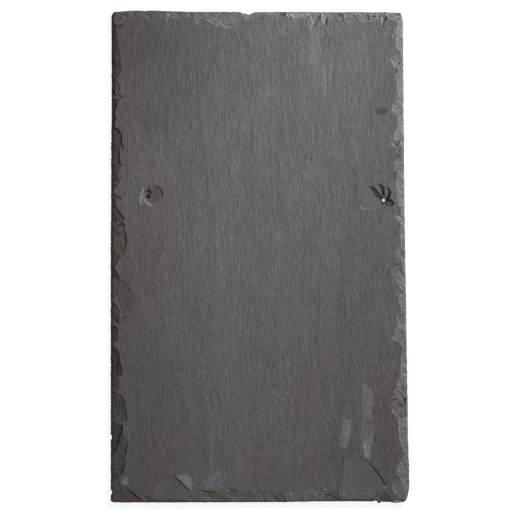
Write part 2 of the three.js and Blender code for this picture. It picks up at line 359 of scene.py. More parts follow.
SCARS: dict[Edge, tuple[Scar, ...]] = {
    Edge.LEFT: (
        *chips(Stone.OLIVE, (0.2, 230, 4.5, 2.5, 6, 0.5, 12.5, 3, 9, 2, 5)),
        *chips(Stone.DARK_BROWN, (0.35, 143.4, 4.2, 6.1, 5.2, 4.1, 6.2, 4.1, 7.2, 3.1, 8.8, 2, 2.7),
            (0.4, 131.2, 5.2, 6.1, 4.7, 5.1, 5.2, 5.1, 4.2), (0.45, -123, 3, 2, 5, 10.5, 6.5, 10, 8.5,
            7.5, 5.5, 3, 3), (0.4, -123.5, 6, 2.5, 10.5, 8.5, 11, 9, 8, 2, 6)),
        *chips(Stone.DEEP_BROWN, (0.5, 110, 7, 1, 13, 10, 11, 7, 9.5, 3.5, 5, 1, 3.5), (0.5, 92, 7, 1, 12,
            1.5, 10.5, 4, 9, 12, 9, 1, 7.5)),
        *chips(None, (0.3, 68, 3, 1, 4.5, 6, 9, 4, 12, 3, 7.5, 6.5, 7.5, 3.5, 11.5, 1, 7), (0.25, 51.5, 5,
            6, 6, 1.5, 12, 3, 8.5, 3, 4.5, 3, 3.5), (0.45, 36, 12, 2.5, 15, 7, 10, 6, 5.5, 1.5, 4),
            (0.3, -11.5, 3, 2, 4.5, 5, 6, 5, 7.5, 2, 8), (0.5, -25, 3, 1, 6, 4, 6.5, 6.5, 5, 3, 2.5)),
        *chips(Stone.LIGHT_BROWN, (0.4, 1.5, 7, 1, 14.5, 14.5, 15.5, 8, 14.5, 4, 16, 6, 13.5, 2, 11)),
        *chips(Stone.LOW_BROWN, (0.15, -139, 4, 2, 7, 5, 9, 7, 8.5, 2.5, 6), (0.2, -229, 8, 6.5, 9, 2, 12.5,
            3, 12, 2, 11)),
        scar(0.15, 213.3, 8.8, 3.6, 8.3, 6.1, 7.2, 5.1, 7.2, 4.1, 5.7, stone=Stone.OLIVE, wall=3),
        scar(0.15, 199.5, 8.8, 3.1, 10.8, 6.1, 10.3, 4.6, 9.3, wall=3, stone=Stone.OLIVE),
        scar(0.1, 180.1, 6.7, 5.1, 9.8, 7.2, 11.3, 7.1, 11.3, 1, 8.8, wall=3),
        scar(0.5, 192, 2.5, 1.5, 5.5, 5, 5, 4, 4, 1, 2, depth=3.2, stone=Stone.DARK_BROWN),
        scar(0.2, 162, 3, 1, 8, 3, 6.5, 4, 5.5, 3, 7, 6, 5, 1.5, 2.5, wall=3, stone=Stone.LIGHT_BROWN),
        scar(0.95, 111, 6, 1, 10.5, 4, 7.5, 4, 4, depth=3.4, stone=Stone.DEEP_BROWN),
        scar(0.6, 1.5, 7, 1, 13.5, 11, 13.5, 0.5, 10.5, depth=3.1, stone=Stone.BROWN),
        scar(0.15, -71, 4, 1, 8, 3.5, 14.5, 6, 18.5, 8, 21.5, 8, 22.5, 9.5, 21, 8, 15, 8, 7.5, 3.5, 3,
            stone=Stone.FLAKE, form=Form.FLAKE, fall=0.04, wall=1.5),
        scar(0.8, -70, 3, 1, 8.5, 1.5, 9, 6, 10, 7, 9, 4, 7, 4, 4.5, 1, 2.5, depth=3.3),
        scar(0.3, -90.5, 4, 3.5, 7, 7, 8.5, 9, 8, 1.5, 4, wall=3, stone=Stone.LOW_BROWN),
        scar(0.12, -172, 5, 2.5, 12, 3, 16.5, 10, 16, 10, 15, 6, 12, 2, 5.5, 1, 4, stone=Stone.LOW_BROWN,
            wall=2.6),
        scar(1, -157.5, 2, 3, 5, 8, 4.5, 4.5, 2, depth=3.6, stone=Stone.LOW_BROWN),
        scar(0.12, -221.5, 7, 2, 10.5, 4, 13, 6, 15, 7, 15, 7.5, 16.5, 6, 17.5, 6, 14.5, 10, 13, 3.5, 9,
            wall=2.4, stone=Stone.BLOCK),
    ),
    Edge.RIGHT: (
        *chips(Stone.CHIP, (0.3, 209.5, 0, 1, 6, 5.5, 7, 15, 6.5, 8.5, 5.5, 9, 7, 1, 0), (0.35, 158.7, 9,
            4.1, 6.3, 5.1, 6.3, 7.1, 6.7, 5.1, 7.1, 4.1, 9.1, 6.1, 7), (0.35, 34.5, 2, 1, 2.5, 3.5, 7,
            3.5, 11.5, 1, 3)),
        *chips(None, (0.2, 190.5, 4, 2, 5, 2, 10, 5, 12, 4, 13.5, 4, 7, 2, 3), (0.25, 142.5, 6, 3, 9,
            3, 12.5, 4, 12, 4, 12, 2, 5), (0.25, 111, 8.5, 2, 13, 6, 13, 10, 9.5, 4, 5), (0.3, -44.5, 7.5,
            8.5, 8.5, 7, 6.5, 4, 8.5, 3, 9), (0.35, -89, 6, 7, 15.5, 1, 15.5, 5, 12, 6, 10, 12.5, 10.5,
            3, 6), (0.2, -103.4, 6.3, 8.1, 5.5, 5.6, 4.4), (0.2, -199.5, 4, 5.5, 6, 4, 8, 3, 9)),
        *chips(Stone.PALE, (0.3, 121, 2.4, 2, 6.4, 9.2, 7.3, 5.1, 6.2, 5.1, 6.6, 3.1, 6.1), (0.3, 69, 8.7,
            7.1, 9.3, 9.2, 8, 2, 6.9), (0.25, 53.7, 6.9, 4, 8.9, 6.2, 8.3, 5.6, 8.4), (0.2, 42.4, 4,
            8.2, 4.9, 3.6, 6.9), (0.2, 13.9, 4.9, 11.2, 5.3, 10.2, 5.1), (0.25, -54.5, 5.5, 3, 5.5, 4, 7.5,
            3, 7), (0.2, -129.9, 11.6, 6.1, 9.4, 6.1, 7.3, 7.1, 6.7, 7.7, 6.6), (0.6, -142, 3, 6, 7, 6, 11,
            1, 8), (0.25, -187, 9, 10, 10, 12.5, 10.5, 1, 10.5), (0.2, -220.5, 13.5, 1, 13.5, 10, 10.5,
            7, 5, 3, 4), (0.3, -236, 4, 3, 4.5, 9, 9.5, 3.5, 13.5)),
        *chips(Stone.GREY, (0.45, 100.5, 8.5, 7, 9.5, 3.5, 8.5)),
        *chips(Stone.LILAC, (0.3, 87, 6, 1.5, 10.5, 10, 9.5, 2, 6)),
        *chips(Stone.DULL, (0.3, -8.5, 5, 2.5, 9.5, 12.5, 11, 7.5, 6.5, 1, 4), (0.35, -27, 7, 3, 10, 4, 13,
            8.5, 13.5, 5, 8)),
        *chips(Stone.PURPLE, (0.2, -163.5, 10.5, 3, 13.5, 4, 16.5, 8, 18, 6.5, 15.5, 6, 14, 6, 11)),
        scar(0.2, -246, 8, 4, 13.5, 4, 17, 5, 17.5, 5, 15.5, 3, 5, stone=Stone.DULL, form=Form.FLAKE),
    ),
    Edge.HEAD: (
        *chips(Stone.HEAD_OLIVE, (0.3, -154.5, 13, 11.5, 12, 8, 6, 2, 1, 0.5, 0)),
        *chips(Stone.HEAD_BROWN, (0.25, -134, 0, 1, 6, 6, 5.5, 7.5, 5.5), (0.3, -121, 4, 4.5, 6, 4, 8,
            1.5, 7, 1.5, 3), (0.3, -111.5, 4, 2, 6, 4, 6.5, 9, 6, 1, 3)),
        *chips(Stone.HEAD_PALE, (0.25, -96.5, 4, 1, 13.5, 2, 13, 1, 6), (0.4, 27, 1, 0.5, 4, 2, 5.5, 1, 5.5,
            0.5, 2), (0.4, 31, 1, 1, 3, 3, 6.5, 1.5, 4), (0.25, 30, 4, 4.5, 6, 6, 5.5, 3, 8, 1.5, 4,
            2.5, 5), (0.3, 62, 3, 1.5, 9, 2, 14, 1, 13.5, 0.5, 10, 2, 11, 1, 4), (0.4, 111, 5, 3, 9, 5, 9.5,
            1, 7, 4, 12, 1, 7), (0.3, 128, 4, 1, 5, 10.5, 10.5, 3, 9, 2, 6)),
        *chips(None, (0.35, -92, 4, 2, 7, 4, 7.5, 7, 6.5, 1, 3), (0.25, -79, 4, 4, 6, 6.5, 5.5, 1, 3),
            (0.25, -59, 5, 1.5, 8, 4, 9.5, 5, 11.5, 2, 13.5), (0.17, -49.5, 8, 4, 13.5, 5.5, 14.5, 5, 16.5,
            2, 12), (0.25, -20, 2, 2.5, 4, 3, 8, 4, 11, 2, 9, 5, 5), (0.25, -6.5, 9, 5, 6.5, 7, 2.5),
            (0.25, 5.5, 3, 5.5, 3.5, 10, 3), (0.45, 45.5, 5, 2, 8, 2, 13.5, 2, 17, 1, 14.5, 1, 4),
            (0.3, 52.5, 10, 2, 15, 7.5, 7.5, 1, 5), (0.4, 85.5, 4, 3.5, 9.5, 1.5, 6), (0.25, 87.5, 5, 5, 7,
            6, 6), (0.65, 125, 6, 1, 10.5, 3, 7, 1, 4)),
        *chips(Stone.SMOOTH, (0.25, 68, 7, 8, 9, 7, 9, 4.5, 7)),
        *chips(Stone.HEAD, (0.35, 97.5, 1, 5, 5, 5, 9.5, 4.5, 9, 1, 5)),
        scar(0.25, -67.5, 2, 0.5, 9, 2.5, 13.5, 2.5, 13, 2, 9, 1, 4, stone=Stone.HEAD, form=Form.FLAKE),
        scar(0.2, -51.5, 0.5, 6, 6.5, 7.5, 13, 4, 17, 7, 17.5, 5, 12, 4.5, 8, 4, 3, form=Form.FLAKE,
            fall=0.07, wall=3),
        scar(1.1, 20.5, 2, 0.5, 4, 3, 4.5, 3, 4, 0.5, 1, depth=3.8, stone=Stone.DARK_BROWN),
        scar(1, 108.5, 3, 1.5, 6.5, 2, 6, 0.5, 2, depth=3.4),
    ),
    Edge.TAIL: (
        *chips(None, (0.4, -117.5, 7.5, 1, 7.5, 4.5, 3, 1.5, 1), (0.2, -70, 8, 4.5, 9, 5, 8),
            (0.35, -61.5, 9, 1, 13, 8, 10.5, 7, 8.5, 7.5, 6, 8, 2.5), (0.4, -56.5, 8, 1, 8.5, 7, 1.5),
            (0.25, -32, 14.5, 1, 15, 8, 11.5, 7.5, 6.5, 2, 4), (0.35, -13.5, 9.5, 10, 6.5, 2, 4),
            (0.25, -3, 13.5, 5.5, 10.5, 1, 7), (0.3, 8, 10, 1, 10.5, 8, 5.5), (0.3, 20, 8.5, 5, 6.5),
            (0.15, 29, 10, 2, 13.5, 6.5, 12, 6, 8), (0.3, 41.5, 6.5, 1, 6.5, 12, 4.5), (0.1, 46.5, 15.5,
            1, 16, 16.5, 13, 14, 9.5, 5, 5.5), (0.35, 68, 7.5, 6, 4.5, 6, 1.5), (0.2, 117.5, 12, 0.5, 13,
            7, 9.5, 9, 1.5)),
        scar(0.1, -154.5, 21.5, 5, 21, 6.5, 20, 7, 16, 7, 9.5, 7.5, 3.5, 2, 0, stone=Stone.CORNER,
            form=Form.FLAKE, fall=0.05),
        scar(0.1, -108.5, 2, 1, 6, 1, 10, 2, 15, 3, 19, 5, 22, 7, 27, 8.5, 20, 11, 10.5, 1.5, 8,
            form=Form.FLAKE, wall=1.2, stone=Stone.PLAIN),
        scar(0.12, 83, 0, 0.5, 14.5, 2, 26.5, 1.5, 43, 5.5, 46, 7, 46, 9, 42.5, 4.5, 38, 8, 28, 8, 17,
            11.5, 1, form=Form.FLAKE, wall=1.2, stone=Stone.SMOOTH),
        scar(0.1, 108, 3, 0.5, 8, 3.5, 13, 4, 12, 2, 8, 1, 1, stone=Stone.SMOOTH, form=Form.FLAKE),
    ),
}


# The lines on the weather face, by kind and by width. Each is the place of its first point,
# and the steps to the next ones.
LINES: dict[Trace, dict[float, tuple[tuple[float, ...], ...]]] = {
    Trace.CRACK: {
        0.6: ((60.8, 243.4, -3.1, -4.1, -3.2, -4.9),),
        0.7: ((-106.6, 73, 2.7, -2, 2.9, -1.6, 0.8, -3.5, 0.6, -3.1),),
        0.8: ((-133, -238.1, 6.1, -5.1, 4.6, -4), (61.2, 248, -0.4, -4.6), (113.6, 70.5, 2.3, -4.1, 3.3, -5.1,
            3.8, -2.8), (120.5, 74.4, 2.5, -2.9, 1.7, -3.6, 0.7, -5.6), (122.7, 74.8, 3.2, -3.1, 0.5, -2.2,
            -0.5, -3.6, 0.7, -4.1), (131.7, 59.5, 2.5, -1.6, 2.1, -2.2, -1.6, -2.6, -2.2, -2), (131.7, 59.5,
            -1, -3.3, 1.5, -3.6)),
        0.9: ((-146.3, 79.7, -2.2, -3.6), (-148.8, 73.5, 2.5, -1.5), (-146, 28.2, 0.5, 3, 2.5, 2.3, 2.9, -0.6,
            2.3, -2), (-143.8, -106, 1.6, -4.6, 1.2, -5.1, -0.6, -5.1), (79.2, 248, 1.6, -1.6, -1, -2), (126,
            239.3, -0.3, -5.1), (139.3, 247.9, 3.1, -1.3), (-60.5, -237.5, 4, -2, 6, 0, 5, -1), (67.9, -242.1,
            6.2, -1.9, 7.1, -3.6), (124.5, -240, 4.5, -2.5, 5, -4.5), (112.3, 72.3, 3.1, -1.3, 3, -2.3, 2.6,
            -3.3, 2, -3.6, 2.1, -2.3), (129.4, 71, 1.8, -1.5, 1.3, -2.1, 1.5, -2.5), (-117.2, 67.1, 3.1, 0.1,
            3.5, 0.7)),
        1: ((-143.5, 237.5, 2.5, -2, 2, -2), (-148, 237.5, 0.5, -4.5, -1.5, -3), (-148.8, 86.3, 2, -4.1, -1.2,
            -4.1), (-149.5, 42.5, 2, -4.5, 0, -6), (-143.5, 1.5, -1.5, -4, -2, -4, -2.5, -5), (-149.5, -69.5,
            2, -2.5, 1, -2), (-146.8, -93.2, 2.6, -4.1, 1, -5.6, -1.4, -4.6, -1.1, -5.1, -0.4, -7.1), (-148.8,
            231.1, -0.3, -5.1), (143, 120, -3.5, -7.5, -1.5, 3.5), (125.9, 54.4, 1.2, 1.3)),
        1.1: ((-149, 172, 0.5, -6), (-147, 51.5, 2.5, -4, 3, -4.5, 3.5, -4.5), (140.5, 70), (144.5, 70), (114,
            245.5, 5, 0), (-89, -223, 5, -4, 5, -4.5, 5, -5, 3.5, -3)),
        1.2: ((-146.3, 179.1, 2.3, -3.6, 0.5, -3.5, -1.5, -3.1, 0.4, -3, 3.9, -3.4), (-148, 144.5, 0.5, -6),
            (-147.5, -62.5, 1, -3, 3, -2.5), (-137.5, -206.5, -0.5, -6, -2, -5, -2, -4), (148.5, -64), (128.1,
            55.2, 2.6, -3.1)),
        1.3: ((-149.5, 202.5, 1, -4, 1.5, -4), (-149, 133, 2.5, -3, 2.5, -3.5), (-138.9, 27.1, 1.8, -3, 0.8,
            -7.2, -0.5, -6.1, -1, -4.1), (-137, -154.5, 0.5, -6, 0.5, -6), (139, 191.5, 0, -4), (145, 139.5),
            (112, -211, 7, -8, 5, -7, 4.5, -7)),
        1.4: ((-135, -188.5, -0.5, -4.5, -1.5, -5.5, -1, -6), (142.5, 197.5), (-113.2, 72.7, -0.2, -2.7, -0.2,
            -3.1)),
        1.5: ((-146.5, 156.5, -1, -4, -1.5, -4), (-143.4, 109.2, 0, -8.6, -0.4, -5.5, 3.4, -1.1), (-139.7,
            -170.2, -1.5, -6.7, -1.7, -5.6, -1.3, -5.6, -2.3, -6.6, -2.2, -4.6)),
        1.6: ((-145.2, 131.7, 2.6, -5.6, 1, -6.1, 0.4, -5.1, 1.9, -3.9), (-150, -10.5, 2.5, -4, 2.5, -4.5, 0,
            -3)),
        1.7: ((-113.6, 66.4, 1.5, -2, 0.5, -2.1),),
        2.2: ((148, -143.5, -0.5, -6),),
        2.8: ((132, 65.4, -0.8, -4.6, -1.7, -2.7, -1.4, -1.7),),
    },
    Trace.LEAF: {
        2: ((108.7, 248.2, 2.7, -3.8), (129.1, 244.9, -2.2, -4.6), (130.5, 69.5, 2.5, -4.1)),
        2.4: ((129.1, 244.9, -2, -4.6), (123.2, 73, 2.5, -4, 0.6, -6.2)),
        2.6: ((67.6, 242.4, 0.2, -6.2), (131.8, 64.4, -1, -4.1, -2.1, -3.2)),
        3.4: ((114.3, 71, 3.6, -4.6, 3.1, -4.1, 3, -3),),
        4.4: ((132, 57.2, 2.7, -3, -1, -1.1),),
    },
    Trace.SEAM: {
        0.6: ((-126, -24, 2, -10, 1, -6.5),),
        0.8: ((-99, 62.8, -1.1, -3.5),),
        0.9: ((-143.5, 86.5, 1, -5.5, 2, -1.5), (-148.5, 65, 4, -3.5, 3.5, -3), (-142.7, -18.8, 4.6, -6.1,
            4.6, -6.1, 2.7, -4.6), (-150, -138, 7.5, -2.5, 5, -8, 0.5, -6), (138.3, -8.4, 2.1, 1.9, 2.5, 0.8,
            2.3, -0.3), (5.5, 247.5, -7, -6), (-142.5, -236, 0, -8, 2.5, -3), (-13.5, -240, 5, -1.5, 6, -1.5),
            (-2.5, -235.5, 4, -2), (100.5, -203.5, 4, -3, 4, -2, 4.5, -3.5), (118, -237.5, 3, -1.5)),
        1: ((-142, 214, 1, -5.5, -0.5, -6), (-149.8, 89.9, 2, -3.1), (-139.5, -217, 3, -5), (142.5, -76, 3,
            -2), (142.5, -149.5, -2.5, -4), (112, 242.5, 6, -0.5), (131.2, 246.4, 4.1, -1.5), (136.3, 242, 3,
            1.4), (-45.5, -240.5, 7.5, -1.5, 7, -4.5), (-54.5, -241, 6, -5.5), (-31, -235, 6, -2.5, 5, -3,
            4.5, -2.5), (21, -240.5, 4, -3)),
        1.1: ((140.5, 110, 1.5, -4.5, -2.5, -5), (10, -239.5, 5, -3.5, 3, -3)),
        1.2: ((-149.5, -130.5, 3, -1.5, 3.5, -1.5), (108.5, -244, 5.5, -4.5)),
        1.3: ((-144, -22, 0, -5, -2.5, -7, -2, -5), (138, 240.5, 0, -6.5), (83.2, 247.5, 2.1, -3.1)),
        1.4: ((-131.2, -34.6, 1.6, -5.6, 0.3, -7.1, -1.2, -5.1, -1.7, -3.6), (-149.5, -75.5, 3, -3.5, 2.5,
            -3.5, -0.5, -3.5), (126.3, 240.3, -0.6, -5.1), (47.5, -243, 6, -1.5, 2, -2)),
        1.5: ((-149.5, 115, 2, -2.5, 4, -3.5), (-149.5, -142, 1.5, -4, 1.5, -4.5)),
        1.6: ((-116, -243, 4, -5),),
        1.8: ((-137.8, 6.7, -0.8, -6.1),),
        2: ((-148.5, 210.2, 0.7, -5.6),),
        2.2: ((-147.8, 218.9, 1, -6.1), (68, 244.5, -1, -8), (77.1, 244.4, 1, -4.1)),
    },
    Trace.BRUISE: {
        0.7: ((55, 221, 2.5, -20, 3, -4.5), (62, 196, 3, -6, 2.5, -3.5), (69, 180, 3, -8), (81.5, -122, 0.5,
            -19)),
        0.8: ((-130, -41.7, 0.3, -5.6), (-38, 249, 3, -3.5, 4, -5), (-32, 248.5, 4, -8), (-26, 249, 3, -3.5,
            2, -4), (-128.1, -122.8, 0.2, -12.2), (-11.6, -227.9, 1, -8.1), (100, -141.5, 0, -8)),
        0.9: ((-140, 78.5, -3, -4.5, -4.5, -5), (-147.5, 13, 5.5, 0), (-146.3, 226.5, 1.6, 1.6), (141.5, -19,
            5, -4.5), (140.5, -32, 1, -8, 2, -5.5, 4, -3), (139.5, -57.5, 0.5, -6, -0.5, -7.5, -3, -6, -2,
            -4.5), (144.5, -91, 0, -6.5, -1, -6, 2, -8, -2, -10.5), (142.5, -123, -3, -6, -1, -2), (136.5,
            -137, -2.5, -7, -1, -4.5, -0.5, -4), (135.5, -146.5, 2, -6.5, 4, -6, 3.5, -5.5), (144.5, -202.5,
            -2, -5, -3.5, -6, -0.5, -4, 1.5, -5), (135.5, -229, 1.5, -7, 3.5, -6.5), (-105.5, 245, 5, 0),
            (-38.1, 248.5, 1.5, -5.1, 1.5, -6.1), (-16.5, 246.5, 4, -6), (70.8, 246.9, -0.4, -9.6), (98.5,
            248, 6, -5), (-134.7, 0.6, 0.5, -6.1, -0.3, -6.6), (-122.3, -67.7, 1.8, -7.2, 1.1, -9.1), (83.8,
            -163.6, -0.6, -7.1, -1.6, -8.2, -0.8, -8.2)),
        1: ((139.5, 240.5, -1.5, -9.5, 0.5, -8, 0.5, -9, 1.5, -4), (137, 208, -3, -3, -1, -3.5, 1.5, -3, 2,
            -4, 2, -3.5), (138, 186.5, -0.5, -3.5, 2, -5, 1, -7, 1.5, -7), (138.5, 141.5, 2, -5, 1, -4.5),
            (138.5, 128, -1.5, -5, -2.5, -5, -0.5, -5.5, 3.5, -1), (138, 98.5, -1, -5, 0, -5, 2.5, -1.5, 5,
            0.5), (138.5, 77, 2, -6), (136.5, 12, -0.5, -5.5, 0.5, -7, 2, -6), (139.3, -86.6, 3.1, -2.9, 2.5,
            -1.7), (141.5, -165.5, 0.5, -9.5, 0.5, -9, 1, -6), (134, -223), (-148.5, 249, 4.5, -1.5), (-118.5,
            248.5, 3, -2, 2.5, -3.5), (-88, 248.5, 3, -4.5, 2, -2.5), (-77, 249.5, 3, -3, 3, -5), (-54.5,
            241.3, 6.2, -2.5, 7.1, -1.9, 5.1, -2.3), (18.5, 248.5, 0.5, -3, 3, -1), (36.5, 248.5, 3, -4),
            (91.5, 247.5, 3, -4), (131, 243.5, 5.5, -2.5, 3, -1.5), (98.5, -241, -0.5, -4), (109.8, 47.8, 7.1,
            1.1, 6.1, 1.7, 4.1, 2), (-105.2, 54.4, 0.2, -5.3), (-130.7, -18.8, 1.5, -6.1, 0.5, -7.1)),
        1.1: ((-57.5, 242.4, 5.1, -2.1, 5.1, -3.6, 6.1, -2),),
        1.2: ((140.5, 29, 3, -8, 1.5, -5), (136.5, -222.5), (-44.8, 235.4, 6.7, -0.4, 4.5, -1.8, 5.7, -0.3)),
        1.3: ((-106.3, 158.7, -0.4, -11.2),),
        1.4: ((147, -6.5, -0.3, -6.1, 0.8, -6.2), (-1, -243), (6, -243.5), (-54.5, -235, 10.7, 3.6), (-103,
            160)),
        1.5: ((-144.7, 215.8, 2, -1.5), (83, -237, 3.5, -4, 3, -7.5), (-111.1, 200.5, -0.5, -10.2, 1.5,
            -18.3), (127.5, -128.5)),
        1.6: ((-147.8, 223.5, 0.3, -1.5), (137.5, -51.4), (-101.4, -190.1, 1.5, -3.1), (-97.3, -197.3, -0.5,
            -3), (-57, -227.4, 9.7, 3.1, 6.1, 4.1)),
        1.8: ((88.5, -207.5, -2, -12, -2, -10.5, -1.5, -7), (127.9, 71.5, 0.8, -4.1, 0.2, -3.5), (-97.9,
            -179.9, -0.6, -3.1)),
        2: ((138.7, -206.4), (-93, 246.5, -2, -4, -0.5, -4.5), (63, -244)),
        2.2: ((-146, -227.7, 1.8, -0.1),),
        2.4: ((-50.4, -204.4), (-63.9, -178.9, 0.3, -3.6)),
        3.5: ((112, -239, 0, -3),),
    },
    Trace.CHALK: {
        0.8: ((-51.9, 248.5, 5.6, -5.1, 5.6, -4.4, 6.6, -5.8), (-101.4, -229.9, -3, -4.1, -2.8, -6.1, -0.6,
            -5.1), (119.2, 71.5, 1.2, -3.6, 1, -3.5), (-124.8, -31, 1.4, -5.1, 0.6, -5.1)),
        0.9: ((-149.3, 89.4, 0.8, -2.6), (-148.8, -68.5, 3, 0.4, 3.1, 0), (136.5, 154.5, -2, -4.5, 1, -3.5),
            (136.5, -21.5, 3, -4.5, 3, -4, 4.5, -3.5), (-144, 238.5, 2.5, 2, 4.5, 3.5, 3.5, 2, 6, 0), (95,
            249.5, 3.5, -4, 4, -3.5, 5, -2, 5.5, 0.5)),
        1: ((-144.2, 19), (139, -130, 3.5, -5.5, 4, -4, 3, -3), (143.5, -190, 2, -4.5, 2.5, -4.5), (140,
            -222.5, 3.5, -2.5, 2.5, -5.5, 1.5, -7.5), (42.5, 248.5, 2, -5), (79, 248.5, 1.5, -4, 1.5, -3.5),
            (118, 247, 1, -3.5, 2, -4), (124, 244, 0.5, -2.5, 0.5, -5.5)),
        1.1: ((134, -11.9, 0.2, -3.8, 1.4, -5.1), (134.2, -82.6, 3.1, -1.7, 2.3, -1.6), (132.5, -152.5, 4, -6,
            4, -5.5), (75.5, -233), (-124, 58.8, 2, -2.1, 1, -3.4)),
        1.2: ((-148.3, -44.6, 3.6, -3.7, 2, -4.6, 0.8, -4.6), (-93.5, 248.5, 0.5, -2), (-91.5, 239), (-15.5,
            235), (31, 249, 2.5, -3.5, 2, -3), (124.2, 244.4, 0.2, -8.2), (136, 244, 3.5, 0.5, 2.5, 2),
            (101.3, 52.6, 2.3, -3, 4.1, -1.6), (-118.4, 69.5, -1.3, -2.6, -1.6, -3), (106.9, -189.5, 0.5,
            -3.7, 1.5, -9.2)),
        1.4: ((-113, 243), (-70, -208.5, 0.5, -1.4)),
        1.5: ((51.5, 233), (85.3, 248.5, 2, -4.6, 2.4, -4.6)),
        1.6: ((131.2, 226.2), (137.5, 228.1), (127.6, -128.9), (27, 248.5, 1, -2, 2, -2)),
        1.7: ((132, 233.7, 0.4, -2.4), (45.8, 248.3, 3.8, -0.7, 2.6, -2.7, 0.9, -4.6, -0.5, -5.1, -1.4,
            -2.5)),
        1.8: ((-148.3, -88.6, 3, 1.1),),
        1.9: ((85.6, -242),),
        2: ((-145.2, -227.5), (138, 41.5, 3, -4.5, 3.5, -3), (126.6, -234.5)),
        2.2: ((128.1, 228.1), (134.7, 225, 1.6, -0.5)),
        2.4: ((63.4, -244), (82.4, -242.3)),
        2.5: ((-143.5, -59.5, 2.5, -0.5),),
        2.6: ((147.9, -240.7, 0.6, -0.6), (-118.2, 59.3, 2, -3.1, 2.1, -2, 3, -1.3, 2.3, -0.3)),
        2.8: ((66.4, -237.5),),
        4: ((-120.3, 61.8, -1, -2.5),),
    },
}


@dataclass(frozen=True)
class Patch:
    """A patch of stone of its own colour and slope, inside a closed outline. A few are painted shade instead
    of the stone's colour.

    Its slope is how much further down it goes for each millimetre in X and in Y.
    """

    tint: Tint
    outline: Array
    slope: Point = (0.0, 0.0)
    soft: float = 1.2
    calm: float = 0.0


def patch(tint: Tint, *outline: float, **settings: object) -> Patch:
    """A patch whose outline is written as its first point, and the steps to the next ones."""
    return Patch(tint, trodden(outline), **settings)


